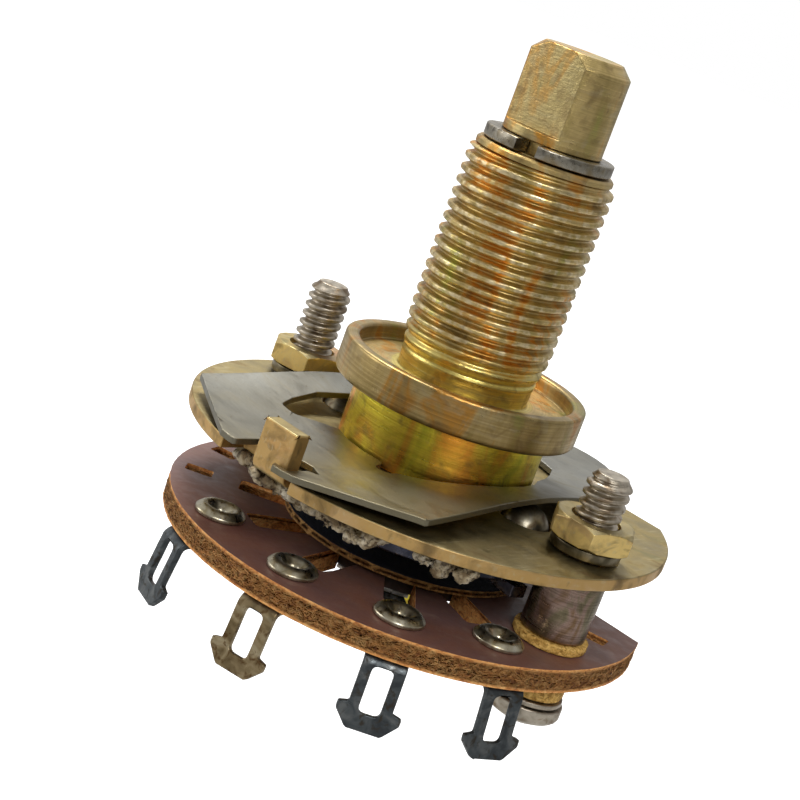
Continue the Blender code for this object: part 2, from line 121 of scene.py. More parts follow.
def box_outline(middle, size, degrees=0.0):
    """The corners of a turned rectangle."""
    turn = Matrix.Rotation(math.radians(degrees), 2)
    corners = []
    for sx, sy in ((-1, -1), (1, -1), (1, 1), (-1, 1)):
        corner = turn @ Vector((sx * size[0] / 2, sy * size[1] / 2))
        corners.append((middle[0] + corner.x, middle[1] + corner.y))
    return corners


def rounded(points, closed=True, steps=4):
    """Round an outline's corners; a point is (x, y) when sharp or (x, y, radius)."""
    count = len(points)
    made = []
    for index, point in enumerate(points):
        here = Vector(point[:2])
        if len(point) == 2 or (not closed and index in (0, count - 1)):
            made.append(tuple(here))
            continue
        back = Vector(points[index - 1][:2]) - here
        on = Vector(points[(index + 1) % count][:2]) - here
        half = back.angle(on) / 2
        run = min(point[2] / math.tan(half), 0.48 * back.length, 0.48 * on.length)
        start, end = here + back.normalized() * run, here + on.normalized() * run
        for step in range(steps + 1):
            share = step / steps
            spot = start.lerp(here, share).lerp(here.lerp(end, share), share)
            made.append(tuple(spot))
    return made


def smooth(share):
    share = min(max(share, 0.0), 1.0)
    return share * share * (3 - 2 * share)


def rough(x, y, z, size):
    """Smooth noise from -1 to 1 with features of about this size in millimetres."""
    return noise.noise(Vector((x, y, z)) / size)


# solids

def lathe(profile, sides, warp=None, closed=True):
    """Spin (radius, height) points round Z; warp may change each point by its angle."""
    bm = bmesh.new()
    rings = []
    for side in range(sides):
        angle = math.tau * side / sides
        ring = []
        for r, z in profile:
            if warp:
                r, z = warp(r, z, angle)
            ring.append(bm.verts.new((r * math.cos(angle), r * math.sin(angle), z)))
        rings.append(ring)
    count = len(profile)
    for side, ring in enumerate(rings):
        after = rings[(side + 1) % sides]
        for low in range(count if closed else count - 1):
            high = (low + 1) % count
            bm.faces.new((ring[low], ring[high], after[high], after[low]))
    bmesh.ops.remove_doubles(bm, verts=bm.verts, dist=1e-6)
    return bm


def sweep_ring(section, gap, at, rise, steps):
    """Carry a closed (radius, height) section round Z, leaving a gap and climbing by rise."""
    bm = bmesh.new()
    start, turn = at + gap / 2, 360 - gap
    rings = []
    for step in range(steps + 1):
        share = step / steps
        x, y = polar(1, start + turn * share)
        lift = rise * (share - 0.5)
        rings.append([bm.verts.new((r * x, r * y, z + lift)) for r, z in section])
    for ring, after in zip(rings, rings[1:]):
        for low in range(len(section)):
            high = (low + 1) % len(section)
            bm.faces.new((ring[low], ring[high], after[high], after[low]))
    bm.faces.new(rings[0])
    bm.faces.new(rings[-1])
    return bm


def sheet(loops, cuts=()):
    """Fill an outline and its holes; cuts are (point, normal) lines to split along."""
    bm = bmesh.new()
    for loop in loops:
        verts = [bm.verts.new((x, y, 0.0)) for x, y in loop]
        for first, second in zip(verts, verts[1:] + verts[:1]):
            bm.edges.new((first, second))
    bmesh.ops.triangle_fill(bm, use_beauty=True, use_dissolve=False, edges=bm.edges[:])
    for point, normal in cuts:
        bmesh.ops.bisect_plane(
            bm, geom=bm.verts[:] + bm.edges[:] + bm.faces[:],
            plane_co=(*point, 0.0), plane_no=(*normal, 0.0), dist=1e-4,
        )
    bmesh.ops.triangulate(bm, faces=bm.faces[:])
    return bm


def thicken(bm, *levels):
    """Give a flat sheet its thickness, with a row of vertices at each level."""
    for vert in bm.verts:
        vert.co.z = levels[0]
    faces = bm.faces[:]
    for low, high in zip(levels, levels[1:]):
        grown = bmesh.ops.extrude_face_region(bm, geom=faces)["geom"]
        faces = [item for item in grown if isinstance(item, bmesh.types.BMFace)]
        verts = [item for item in grown if isinstance(item, bmesh.types.BMVert)]
        bmesh.ops.translate(bm, verts=verts, vec=(0, 0, high - low))
    return bm


def plate(loops, *levels):
    """A flat plate with holes between the given heights."""
    return thicken(sheet(loops), *levels)


def box_section(inner, outer, low, high, corner):
    """A rounded rectangle of (radius, height) points."""
    corners = [(inner, low), (outer, low), (outer, high), (inner, high)]
    return rounded([(r, z, corner) for r, z in corners], steps=3)


# pieces

def add_object(name, data):
    made = bpy.data.objects.new(name, data)
    bpy.context.scene.collection.objects.link(made)
    return made


def to_object(name, bm, finish):
    """Make a scene object of a shape, with its normals outwards."""
    bmesh.ops.recalc_face_normals(bm, faces=bm.faces[:])
    mesh = bpy.data.meshes.new(name)
    bm.to_mesh(mesh)
    bm.free()
    mesh.materials.append(finish)
    return add_object(name, mesh)


def bake_modifiers(made):
    graph = bpy.context.evaluated_depsgraph_get()
    made.data = bpy.data.meshes.new_from_object(made.evaluated_get(graph))
    made.modifiers.clear()


def combine(made, bm, operation="DIFFERENCE"):
    """Cut or join a second shape into a piece."""
    tool = to_object(made.name + "_tool", bm, made.data.materials[0])
    change = made.modifiers.new("shape", "BOOLEAN")
    change.operation = operation
    change.object = tool
    bake_modifiers(made)
    bpy.data.objects.remove(tool, do_unlink=True)


def soften(made, width, segments=2, angle=35):
    """Break a piece's sharp edges and keep its flats flat."""
    made.data.shade_smooth()
    bevel = made.modifiers.new("edges", "BEVEL")
    bevel.width = width
    bevel.segments = segments
    bevel.limit_method = "ANGLE"
    bevel.angle_limit = math.radians(angle)
    bevel.use_clamp_overlap = False
    normals = made.modifiers.new("flats", "WEIGHTED_NORMAL")
    normals.weight = 80
    bake_modifiers(made)


def finish_piece(made, *nodes, at=(0.0, 0.0), turn=0.0, sharp=None):
    """Move a piece from drawing millimetres to the frame and let it stand for its CAD nodes."""
    where = Matrix.Translation((*at, BASE_TOP)) @ Matrix.Rotation(math.radians(turn), 4, "Z")
    made.data.transform(Matrix.Scale(MM, 4) @ where)
    if sharp:
        made.data.shade_smooth()
        made.data.set_sharp_from_angle(angle=math.radians(sharp))
    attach(made, BODY_OF[nodes[0]])
    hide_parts(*nodes)
    return made


ROOT_SHARE = 0.10
FLANK_SHARE = 0.62
FLANK_ROUNDING = 0.45
ROWS_A_TURN = 14


def helix(radius, depth, pitch, low, high, phase, fade):
    """A right-handed thread's radius at a height and an angle, fading out at both ends."""
    def at(z, angle):
        turns = z / pitch - angle / math.tau - phase + 0.5
        share = 1 - abs(2 * (turns - math.floor(turns)) - 1)
        flank = min(max((share - ROOT_SHARE) / FLANK_SHARE, 0.0), 1.0)
        flank = (1 - FLANK_ROUNDING) * flank + FLANK_ROUNDING * smooth(flank)
        ends = smooth((z - low) / fade[0]) * smooth((high - z) / fade[1])
        return radius - depth + depth * flank * ends
    return at


# shaft and retaining ring
SHAFT_R = INCH / 8
SHAFT_CHAMFER = 0.7
FLAT_DEPTH = 0.85
FLAT_FROM = 21.9
GROOVE = (20.45, 21.3)
GROOVE_R = 2.5
TAIL_FROM = -3.9
TAIL_HALF_WIDTH = 2.1
RING_R = (2.62, 4.1)
RING_GAP = (20, -73)


def shaft(finish):
    """A turned shaft with a ring groove, a flat for the knob and two flats on its tail."""
    tail, tip = span("shaft")
    profile = rounded([
        (0, tail), (SHAFT_R - 0.3, tail, 0.1), (SHAFT_R, tail + 0.3, 0.1),
        (SHAFT_R, GROOVE[0], 0.04), (GROOVE_R, GROOVE[0], 0.04), (GROOVE_R, GROOVE[1], 0.04),
        (SHAFT_R, GROOVE[1], 0.04), (SHAFT_R, tip - SHAFT_CHAMFER, 0.12),
        (SHAFT_R - SHAFT_CHAMFER, tip, 0.14), (0, tip),
    ], closed=False)
    made = to_object("shaft_body", lathe(profile, 128, closed=False), finish)
    wide = 4 * SHAFT_R
    flat = SHAFT_R - FLAT_DEPTH + wide / 2
    combine(made, plate([box_outline((0, -flat), (wide, wide))], FLAT_FROM, tip + 1))
    for side in (-1, 1):
        edge = side * (TAIL_HALF_WIDTH + wide / 2)
        combine(made, plate([box_outline((0, edge), (wide, wide))], tail - 1, TAIL_FROM))
    soften(made, 0.07, angle=28)
    finish_piece(made, "shaft")


def retaining_ring(finish):
    low, high = span("retaining_ring")
    section = box_section(*RING_R, low, high, 0.1)
    made = to_object("retaining_clip", sweep_ring(section, *RING_GAP, 0.0, 72), finish)
    finish_piece(made, "retaining_ring", sharp=50)


# bushing
THREAD_R = 4.7
THREAD_PITCH = INCH / 32
THREAD_DEPTH = 0.42
THREAD_SPAN = (5.8, 19.95)
THREAD_FADE = (3.4, 0.3)
THREAD_PHASE = 0.35
NECK_R = 4.25
LEAD_R = 4.4
BUSHING_BORE = 3.25
COLLAR_SPAN = (4.0, 6.4)
RECESS_R = 7.05
RECESS_FLOOR = 5.4
BOSS_R = 6.35
SPIGOT_R = 4.6


def bushing(finish):
    """Spigot, boss, recessed collar and threaded barrel in one turning."""
    bottom, top = span("bushing")
    collar = reach("bushing")
    low, high = THREAD_SPAN
    profile = rounded([
        (BUSHING_BORE, bottom, 0.15), (SPIGOT_R, bottom, 0.2), (SPIGOT_R, GAP), (BOSS_R, GAP, 0.1),
        (BOSS_R, COLLAR_SPAN[0], 0.12), (collar, COLLAR_SPAN[0], 0.35),
        (collar, COLLAR_SPAN[1], 0.22), (RECESS_R, COLLAR_SPAN[1], 0.25),
        (RECESS_R, RECESS_FLOOR, 0.15), (NECK_R, RECESS_FLOOR, 0.2), (NECK_R, low),
    ], closed=False)[1:]
    rows = round((high - low) / THREAD_PITCH * ROWS_A_TURN)
    profile += [(NECK_R, low + (high - low) * (row + 1) / rows) for row in range(rows)]
    profile += rounded([(NECK_R, high), (LEAD_R, high + 0.04), (LEAD_R, top - 0.15, 0.06),
                        (LEAD_R - 0.15, top, 0.06), (BUSHING_BORE, top, 0.12),
                        (BUSHING_BORE, bottom, 0.15), (SPIGOT_R, bottom)], closed=False)[1:-1]
    thread = helix(THREAD_R, THREAD_DEPTH, THREAD_PITCH, low, high, THREAD_PHASE, THREAD_FADE)

    def warp(r, z, angle):
        if low < z < high and abs(r - NECK_R) < 0.01:
            x, y = polar(r, math.degrees(angle))
            r = thread(z, angle)
            worn = 0.10 * max(rough(x, y, z, 0.7) - 0.2, 0) + 0.03 * rough(x, y, z, 0.25)
            r -= worn * (r - NECK_R) / THREAD_DEPTH
        return r, z

    made = to_object("bushing_body", lathe(profile, 224, warp), finish)
    finish_piece(made, "bushing", sharp=60)


# base plate
PLATE_R = INCH * 5 / 8
PLATE_BACK_Y = 12.1
TAB_X = (-0.6, 2.1)
TAB_Y = (-15.6, -14.5)
TAB_ROOT = 0.9
TAB_BEND_R = 1.15
RELIEF_LEFT = (-3.3, -13.6)
RELIEF_RIGHT = (2.7, -14.1)
SPIGOT_HOLE_R = 4.68
STRUT_X = INCH / 2
SCREW_HOLE_R = 1.55
BALL_R = INCH / 16
BALL_HOLE_R = BALL_R + 0.1


def base_plate(finish):
    """A stamped disc with a flat back and a locating tab bent up between two relief cuts."""
    back = math.degrees(math.asin(PLATE_BACK_Y / PLATE_R))
    left = -90 + math.degrees(math.asin(RELIEF_LEFT[0] / PLATE_R))
    right = -90 + math.degrees(math.asin(RELIEF_RIGHT[0] / PLATE_R))
    outline = arc(PLATE_R, 180 - back, 360 + left, 90)
    outline += [RELIEF_LEFT, (TAB_X[0], RELIEF_LEFT[1]), (TAB_X[0], TAB_Y[1] + 0.3)]
    outline += [(TAB_X[1], TAB_Y[1] + 0.3), (TAB_X[1], RELIEF_RIGHT[1]), RELIEF_RIGHT]
    outline += arc(PLATE_R, right, back, 90)
    holes = [circle(SPIGOT_HOLE_R, 72)]
    holes += [circle(SCREW_HOLE_R, 36, (side * STRUT_X, 0)) for side in (-1, 1)]
    for name in ("detent_ball_right", "detent_ball_left"):
        holes.append(circle(BALL_HOLE_R, 36, centre(name)))
    made = to_object("plate_body", plate([outline] + holes, -PLATE_T, 0), finish)
    near, far = TAB_Y
    top = span("base_plate")[1]
    side_view = rounded([
        (far + TAB_ROOT, -PLATE_T), (near, -PLATE_T, TAB_BEND_R), (near, top, 0.12),
        (far, top, 0.12), (far, 0, 0.25), (far + TAB_ROOT, 0),
    ], steps=8)
    bend = plate([side_view], *TAB_X)
    bend.transform(Matrix(((0, 0, 1, 0), (1, 0, 0, 0), (0, 1, 0, 0), (0, 0, 0, 1))))
    combine(made, bend, "UNION")
    soften(made, 0.1, 3)
    finish_piece(made, "base_plate")


# detent spring
SPRING_T = 0.4
SPRING_FLOOR = 0.12
SPRING_LIFT = 1.5
SPRING_RISE = (2.4, 9.4)
SPRING_DROOP = 0.61
SPRING_HALF_WIDTH = 9.2
SPRING_BACK_Y = 17.0
SPRING_HOLE = (
    (-164, 7.2), (-148, 8.4), (-133, 9.7), (-125, 10.5), (-120, 9.8), (-118, 6.65), (-107, 6.6),
    (-92, 6.6), (-78, 6.6), (-77, 8.0), (-69, 8.2), (-67, 7.6), (-56, 7.4), (-46, 7.0),
    (-30, 6.7), (-12, 6.6), (6, 6.6), (24, 6.6), (42, 6.7), (54, 7.5), (66, 8.6), (76, 9.9),
    (86, 10.2), (98, 9.7), (112, 8.6), (130, 7.7), (150, 7.1), (172, 6.9),
)


def spring_height(x, y):
    """How high the blade's underside stands: up over the balls, drooping to front and back."""
    low, high = SPRING_RISE
    over_balls = min(max((abs(x) - low) / (high - low), 0.0), 1.0)
    droop = 1 - SPRING_DROOP * smooth(abs(y) / 14)
    return SPRING_FLOOR + SPRING_LIFT * over_balls * droop


def detent_spring(finish):
    """A bowed plate: pointed at the tab, rounded at the back, with a lobed hole for the boss."""
    wide = SPRING_HALF_WIDTH
    outline = [(-1.8, -13.9, 0.2), (-1.8, -16.2, 0.3), (-3.0, -16.2, 0.3), (-10.0, -12.1, 0.5)]
    outline += [(-9.6, -6.5, 4.0), (-wide, 0.0, 4.0)]
    for x, y in arc(1, 174, 6, 28):
        outline.append((wide * x, SPRING_BACK_Y * y))
    outline += [(wide, 0.0, 4.0), (9.6, -6.5, 4.0), (10.0, -12.1, 0.5), (3.3, -16.2, 0.3)]
    outline += [(1.6, -16.3, 0.2), (1.2, -15.75, 0.15), (2.4, -15.75, 0.1), (2.4, -14.1, 0.2)]
    outline += [(3.2, -13.9, 0.15), (1.9, -13.2, 0.3)]
    hole = rounded([(*polar(radius, turn), 0.5) for turn, radius in SPRING_HOLE], steps=3)
    lines = [((side * (2.4 + 0.7 * step), 0), (1, 0)) for side in (-1, 1) for step in range(11)]
    lines += [((0, -15.3 + 1.7 * step), (0, 1)) for step in range(19)]
    bm = thicken(sheet([rounded(outline), hole], lines), 0, SPRING_T)
    for vert in bm.verts:
        vert.co.z += spring_height(vert.co.x, vert.co.y)
    made = to_object("spring_blade", bm, finish)
    soften(made, 0.06, angle=50)
    finish_piece(made, "detent_spring")


def detent_ball(node, finish):
    """A steel ball filling its CAD node's box."""
    low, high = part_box(node)
    bm = bmesh.new()
    bmesh.ops.create_icosphere(bm, subdivisions=5, radius=(high.x - low.x) / 2 / MM)
    bmesh.ops.translate(bm, verts=bm.verts, vec=(0, 0, (low.z + high.z) / 2 / MM - BASE_TOP))
    finish_piece(to_object(node + "_steel", bm, finish), node, at=centre(node), sharp=80)


# index wheel
VALLEY_DEPTH = 0.3
VALLEY_FROM_R = 6.2
VALLEYS = 12
BALL_AT = (8.1, 0)
WHEEL_R = 10.0
TANG_AT = -11
TANG_END = 11.05
TANG_WIDTH = 1.2
TANG_ROOT = 1.5
TANG_T = 0.5


def index_wheel(finish):
    """A steel disc with a valley under each ball at every step and a stop tang bent down."""
    low, top = span("index_wheel")
    bottom = low + TANG_T
    rim, bore = WHEEL_R, SHAFT_R + GAP
    profile = rounded([(bore, bottom), (rim, bottom, 0.15), (rim, top, 0.15)], closed=False)
    profile += [(rim - 0.15 - 0.25 * step, top) for step in range(1, 17)] + [(bore, top)]

    def warp(r, z, angle):
        share = (math.degrees(angle) - BALL_AT[1]) * VALLEYS / 360
        off = abs(share - round(share)) * math.tau * BALL_AT[0] / VALLEYS
        if z > top - 0.2:
            z -= VALLEY_DEPTH * smooth(1.25 - off / 1.1) * smooth((r - VALLEY_FROM_R) / 0.9)
        return r, z

    made = to_object("detent_wheel", lathe(profile, 288, warp), finish)
    start = rim - TANG_ROOT
    middle = polar((start + TANG_END) / 2, TANG_AT)
    tang = box_outline(middle, (TANG_END - start, TANG_WIDTH), TANG_AT)
    combine(made, plate([tang], low, bottom + 0.3), "UNION")
    soften(made, 0.06, angle=50)
    finish_piece(made, "index_wheel")


# rotor
BLADE_R = (4.4, 5.6)
BLADE_AT = -64
BLADE_TONGUE = 26


def tail_hole():
    """The flatted hole that the shaft's tail drives."""
    radius, half = SHAFT_R + GAP, TAIL_HALF_WIDTH + GAP
    turn = math.degrees(math.asin(half / radius))
    return arc(radius, -turn, turn, 16) + arc(radius, 180 - turn, 180 + turn, 16)


def insulating_disc(finish):
    """A punched fibre disc with a slightly torn rim."""
    low, high = span("insulating_disc")
    radius = reach("insulating_disc")
    rim = []
    for x, y in circle(radius - 0.06, 220):
        grow = 1 + 0.05 * rough(x, y, 3.0, 0.7) / radius
        rim.append((x * grow, y * grow))
    bm = plate([rim, tail_hole()], low, low + (high - low) / 2, high)
    for vert in bm.verts:
        x, y, z = vert.co
        if math.hypot(x, y) > radius - 0.5:
            push = 1 + 0.03 * rough(x, y, z * 4, 0.3) / radius
            vert.co.x, vert.co.y = x * push, y * push
    made = to_object("insulator", bm, finish)
    soften(made, 0.07, angle=50)
    finish_piece(made, "insulating_disc")


def rotor(phenolic, silver):
    """The rotor and the silvered blade on it, whose tongue reaches the contacts."""
    hub = plate([circle(reach("rotor"), 120), tail_hole()], *span("rotor"))
    made = to_object("rotor_hub", hub, phenolic)
    soften(made, 0.08)
    finish_piece(made, "rotor")
    inner, outer = BLADE_R
    start, end = BLADE_AT - BLADE_TONGUE, BLADE_AT + BLADE_TONGUE
    edge = arc(outer, start, end, 24) + arc(inner, end, start + 360, 90)
    made = to_object("rotor_blade", plate([edge, tail_hole()], *span("rotor_contact")), silver)
    soften(made, 0.05)
    finish_piece(made, "rotor_contact")


# wafer
WAFER_R = INCH * 5 / 8
WAFER_AT = (0.4, 0.1)
WAFER_BACK_Y = 7.75
WAFER_BORE = 5.9
POSITIONS = (-109.5, -78, -48, -20.5)
OPEN_POSITIONS = (-162, -140, 18, 162)
EYELET_AT = 13.2
EYELET_R = 1.6
EYELET_BORE = 0.75
NOTCH_WIDTH = 1.95
NOTCH_END = 11.0
SLOT_AT = 13.75
SLOT_SIZE = (1.75, 1.25)


def wafer_opening():
    """The rotor's bore with a notch running out towards each contact."""
    notches = sorted(POSITIONS + OPEN_POSITIONS[:2])
    points = []
    half = math.degrees(math.asin(NOTCH_WIDTH / 2 / WAFER_BORE))
    for index, turn in enumerate(notches):
        out = Vector(polar(1, turn))
        side = Vector((-out.y, out.x)) * NOTCH_WIDTH / 2
        ends = [out * NOTCH_END - side, out * NOTCH_END + side]
        points += [(*end, 0.35) for end in ends]
        following = notches[(index + 1) % len(notches)]
        turned = (following - turn) % 360 - 2 * half
        points += arc(WAFER_BORE, turn + half, turn + half + turned, max(4, round(turned / 4)))
    return rounded(points)


def wafer(face, edge):
    """A sawn laminate: smooth maroon faces, fibrous rim with its layers showing."""
    low, high = span("wafer")
    flat_turn = math.degrees(math.asin((WAFER_BACK_Y - WAFER_AT[1]) / WAFER_R))
    rim = arc(WAFER_R - 0.05, 180 - flat_turn, 360 + flat_turn, 330, WAFER_AT)
    end, start = Vector(rim[-1]), Vector(rim[0])
    rim += [tuple(end.lerp(start, step / 80)) for step in range(1, 80)]
    loops = [rim, wafer_opening()]
    loops += [circle(EYELET_BORE + 0.05, 24, polar(EYELET_AT, turn)) for turn in POSITIONS]
    for turn in OPEN_POSITIONS:
        corners = box_outline(polar(SLOT_AT, turn), SLOT_SIZE, turn)
        loops.append(rounded([(*corner, 0.2) for corner in corners]))
    loops += [circle(SCREW_HOLE_R, 36, (side * STRUT_X, 0)) for side in (-1, 1)]
    rows = 6
    levels = [low + (high - low) * row / rows for row in range(rows + 1)]
    bm = plate(loops, *levels)
    bm.normal_update()
    for vert in bm.verts:
        x, y, z = vert.co
        out = Vector((vert.normal.x, vert.normal.y, 0))
        if out.length < 0.3:
            continue
        inner = low + 0.05 < z < high - 0.05
        torn = 0.07 * rough(x, y, z * 2.5, 0.45) + 0.05 * rough(x, y, z * 6, 0.18)
        vert.co += out.normalized() * (torn - 0.03 if inner else 0.35 * torn - 0.01)
    for bm_face in bm.faces:
        bm_face.material_index = 0 if abs(bm_face.normal.z) > 0.8 else 1
    made = to_object("wafer_board", bm, face)
    made.data.materials.append(edge)
    soften(made, 0.03, 2, angle=55)
    finish_piece(made, "wafer")


# solder lugs
LUG_T = 0.4
LUG_FROM = 5.0
LUG_BEND_AT = 15.0
LUG_BEND_R = 0.8
LUG_SPLAY = 8
LUG_TAIL = 3.8
LUG_HALF_WIDTH = 1.3
BARB_HALF_WIDTH = 1.9
TAN_LUG = 2
LUG_SLOT = (1.3, 2.85)


def lug_path(length, top):
    """Centre of the strip's upper face and its direction at a distance along the strip."""
    begin = Vector((LUG_FROM, top))
    flat = LUG_BEND_AT - LUG_FROM
    turn = math.radians(90 - LUG_SPLAY)
    if length <= flat:
        return begin + Vector((length, 0)), 0.0
    middle = begin + Vector((flat, -LUG_BEND_R))
    angle = min((length - flat) / LUG_BEND_R, turn)
    point = middle + LUG_BEND_R * Vector((math.sin(angle), math.cos(angle)))
    beyond = max(length - flat - turn * LUG_BEND_R, 0.0)
    return point + beyond * Vector((math.cos(angle), -math.sin(angle))), angle


def contact_lug(number, finish):
    """A contact finger, an eyelet seat and a slotted solder tail in one bent strip."""
    node = "contact_lug_%d" % number
    turn = POSITIONS[number - 1]
    top = span("wafer")[0] - GAP
    flat = LUG_BEND_AT - LUG_FROM
    bend = math.radians(90 - LUG_SPLAY) * LUG_BEND_R
    tail = flat + bend
    seat = EYELET_AT - LUG_FROM
    end = tail + LUG_TAIL
    wide, barb = LUG_HALF_WIDTH, BARB_HALF_WIDTH
    side = [
        (0, 0.75, 0.3), (2.0, 1.1, 0.4), (seat - 2.0, 1.1), (seat - 1.4, wide, 0.4), (tail, wide),
        (end - 1.55, wide, 0.15), (end - 1.4, barb, 0.15), (end - 0.95, barb, 0.3),
        (end - 0.1, 1.15, 0.2), (end, 1.0, 0.1),
    ]
    outline = side + [(item[0], -item[1], *item[2:]) for item in reversed(side)]
    low, high = end - 1.05 - LUG_SLOT[1], end - 1.05
    slot = box_outline(((low + high) / 2, 0), (high - low, LUG_SLOT[0]))
    loops = [rounded(outline), rounded([(*corner, 0.4) for corner in slot])]
    loops.append(circle(EYELET_BORE + 0.05, 24, (seat, 0)))
    lines = [((flat + bend * step / 10, 0), (1, 0)) for step in range(11)]
    lines += [((tail + 0.6 * step, 0), (1, 0)) for step in range(1, 6)]
    bm = thicken(sheet(loops, lines), 0, LUG_T)
    for vert in bm.verts:
        s, w, depth = vert.co
        point, angle = lug_path(s, top)
        point = point - depth * Vector((math.sin(angle), math.cos(angle)))
        dent = 0.04 * rough(s, w, number * 7.0, 1.6) * smooth((s - tail) / 1.0)
        vert.co = (point.x + dent, w, point.y)
    made = to_object("solder_lug_%d" % number, bm, finish)
    soften(made, 0.07, angle=40)
    finish_piece(made, node, turn=turn)


def eyelet(number, finish):
    """A domed rivet: rolled out under the lug, domed over the wafer."""
    node = "eyelet_%d" % number
    low, high = span(node)
    seat_low, seat_high = low + 0.25, span("wafer")[1] + GAP
    bore, barrel = EYELET_BORE - 0.35, EYELET_BORE - 0.02
    profile = rounded([
        (bore, low, 0.1), (EYELET_R - 0.45, low, 0.12), (EYELET_R - 0.4, seat_low, 0.03),
        (barrel, seat_low), (barrel, seat_high), (EYELET_R - 0.02, seat_high, 0.05),
        (EYELET_R, seat_high + 0.2, 0.18), (EYELET_R - 0.35, high, 0.5),
        (bore + 0.45, high, 0.5), (bore, seat_high + 0.1, 0.3),
    ], steps=6)

    def warp(r, z, angle):
        if z > seat_high and r > bore + 0.1:
            r += 0.035 * rough(math.cos(angle) * 2, math.sin(angle) * 2, number * 5.0, 0.8)
        return min(r, EYELET_R), z

    made = to_object("rolled_eyelet_%d" % number, lathe(profile, 72, warp), finish)
    finish_piece(made, node, at=centre(node), sharp=70)


# struts
SCREW_R = 1.4
SCREW_PITCH = INCH / 40
SCREW_DEPTH = 0.32
SCREW_PHASE = {"left": 0.45, "right": 0.3}
SCREW_CHAMFER = 0.42
DRIVER_SLOT = (0.75, 0.8)
DRIVER_SLOT_AT = 25
WASHER_BORE_R = 1.6
LOCK_GAP = 12
HEAD_T = 1.5
NUT_FLATS = INCH * 3 / 16
NUT_CORNER = {"left": 11, "right": 6}
NUT_CHAMFER = 0.26


def screw(side, finish):
    """A slotted pan-head screw whose thread shows above its nut."""
    node = "screw_" + side
    bottom, tip = span(node)
    head = reach(node)
    under = bottom + HEAD_T
    low = span("nut_" + side)[1] - 1.0
    high = tip - 0.15
    profile = rounded([
        (0, bottom), (head * 0.5, bottom + 0.06, 0.8), (head * 0.93, bottom + 0.55, 0.5),
        (head, under - 0.7, 0.2), (head, under, 0.12), (SCREW_R, under, 0.05), (SCREW_R, low),
    ], closed=False)
    rows = round((high - low) / SCREW_PITCH * ROWS_A_TURN)
    profile += [(SCREW_R, low + (high - low) * (row + 1) / rows) for row in range(rows)]
    worn = SCREW_R - SCREW_CHAMFER
    profile += [(worn, tip - 0.03), (worn - 0.08, tip), (0, tip)]
    thread = helix(SCREW_R, SCREW_DEPTH, SCREW_PITCH, low, tip + 1, SCREW_PHASE[side], (0.3, 0.3))

    def warp(r, z, angle):
        if low < z <= high and r > SCREW_R - 0.2:
            r = min(thread(z, angle), SCREW_R - SCREW_CHAMFER * smooth((z - tip + 0.6) / 0.6))
        return r, z

    made = to_object("screw_body_" + side, lathe(profile, 72, warp, closed=False), finish)
    width, depth = DRIVER_SLOT
    slot = box_outline((0, 0), (head * 3, width), DRIVER_SLOT_AT)
    combine(made, plate([slot], bottom - 1, bottom + depth))
    soften(made, 0.04, angle=60)
    finish_piece(made, node, at=centre(node))


def nut(side, finish):
    """A hexagon nut, its corners chamfered by a turned shape."""
    node = "nut_" + side
    low, high = span(node)
    corner = NUT_FLATS / math.sqrt(3)
    hexagon = circle(corner, 6, turn=NUT_CORNER[side])
    bm = plate([hexagon, circle(SCREW_HOLE_R, 48)], low, high)
    made = to_object("hexagon_nut_" + side, bm, finish)
    beyond, over = corner + 0.05, high + 0.02
    chamfer = [
        (0, low - 0.1), (corner - 0.45, low - 0.1), (beyond, low + NUT_CHAMFER),
        (beyond, high - NUT_CHAMFER), (NUT_FLATS / 2 - 0.05, over), (0, over),
    ]
    combine(made, lathe(chamfer, 144, closed=False), "INTERSECT")
    soften(made, 0.05, angle=28)
    finish_piece(made, node, at=centre(node))


def lock_washer(node, finish, turn):
    """A split spring washer that climbs by a little over its turn."""
    low, high = span(node)
    rise = 0.28 * (high - low)
    section = box_section(WASHER_BORE_R, reach(node), low + rise / 2, high - rise / 2, 0.08)
    made = to_object(node + "_coil", sweep_ring(section, LOCK_GAP, turn, rise, 64), finish)
    finish_piece(made, node, at=centre(node), sharp=50)


def spacer(side, finish):
    """A plain tube round the screw, between the plate and the wafer."""
    node = "spacer_" + side
    section = box_section(WASHER_BORE_R, reach(node), *span(node), 0.1)
    made = to_object("spacer_tube_" + side, lathe(section, 96), finish)
    finish_piece(made, node, at=centre(node), sharp=60)


def fibre_washer(node, finish, seed):
    """A punched washer with a slightly torn, bulging rim."""
    low, high = span(node)
    radius = reach(node) - 0.04
    corners = [(SCREW_HOLE_R, low), (radius, low), (radius, (low + high) / 2), (radius, high),
               (SCREW_HOLE_R, high)]
    profile = rounded([(r, z, 0.1) for r, z in corners], steps=3)

    def warp(r, z, angle):
        if r > radius - 0.3:
            x, y = polar(r, math.degrees(angle))
            r += 0.07 * rough(x, y, seed + z * 2, 0.8) - 0.02
            r += 0.04 * rough(x, y, seed + z * 5, 0.25)
        return min(r, radius + 0.04), z

    made = to_object(node + "_punched", lathe(profile, 120, warp), finish)
    finish_piece(made, node, at=centre(node), sharp=60)


# dried grease under the plate's front edge: first and last bearing, radius, height, size, lumps
GREASE = (
    (-109, -97, 12.9, -1.25, 0.60, 22),
    (-97, -88, 14.0, -1.1, 0.50, 20),
    (-88, -77, 13.6, -1.2, 0.50, 24),
    (-74, -58, 14.2, -1.35, 0.52, 34),
    (-48, -36, 14.1, -1.35, 0.56, 26),
)
GREASE_SEED = 7
GREASE_CELL = 0.1


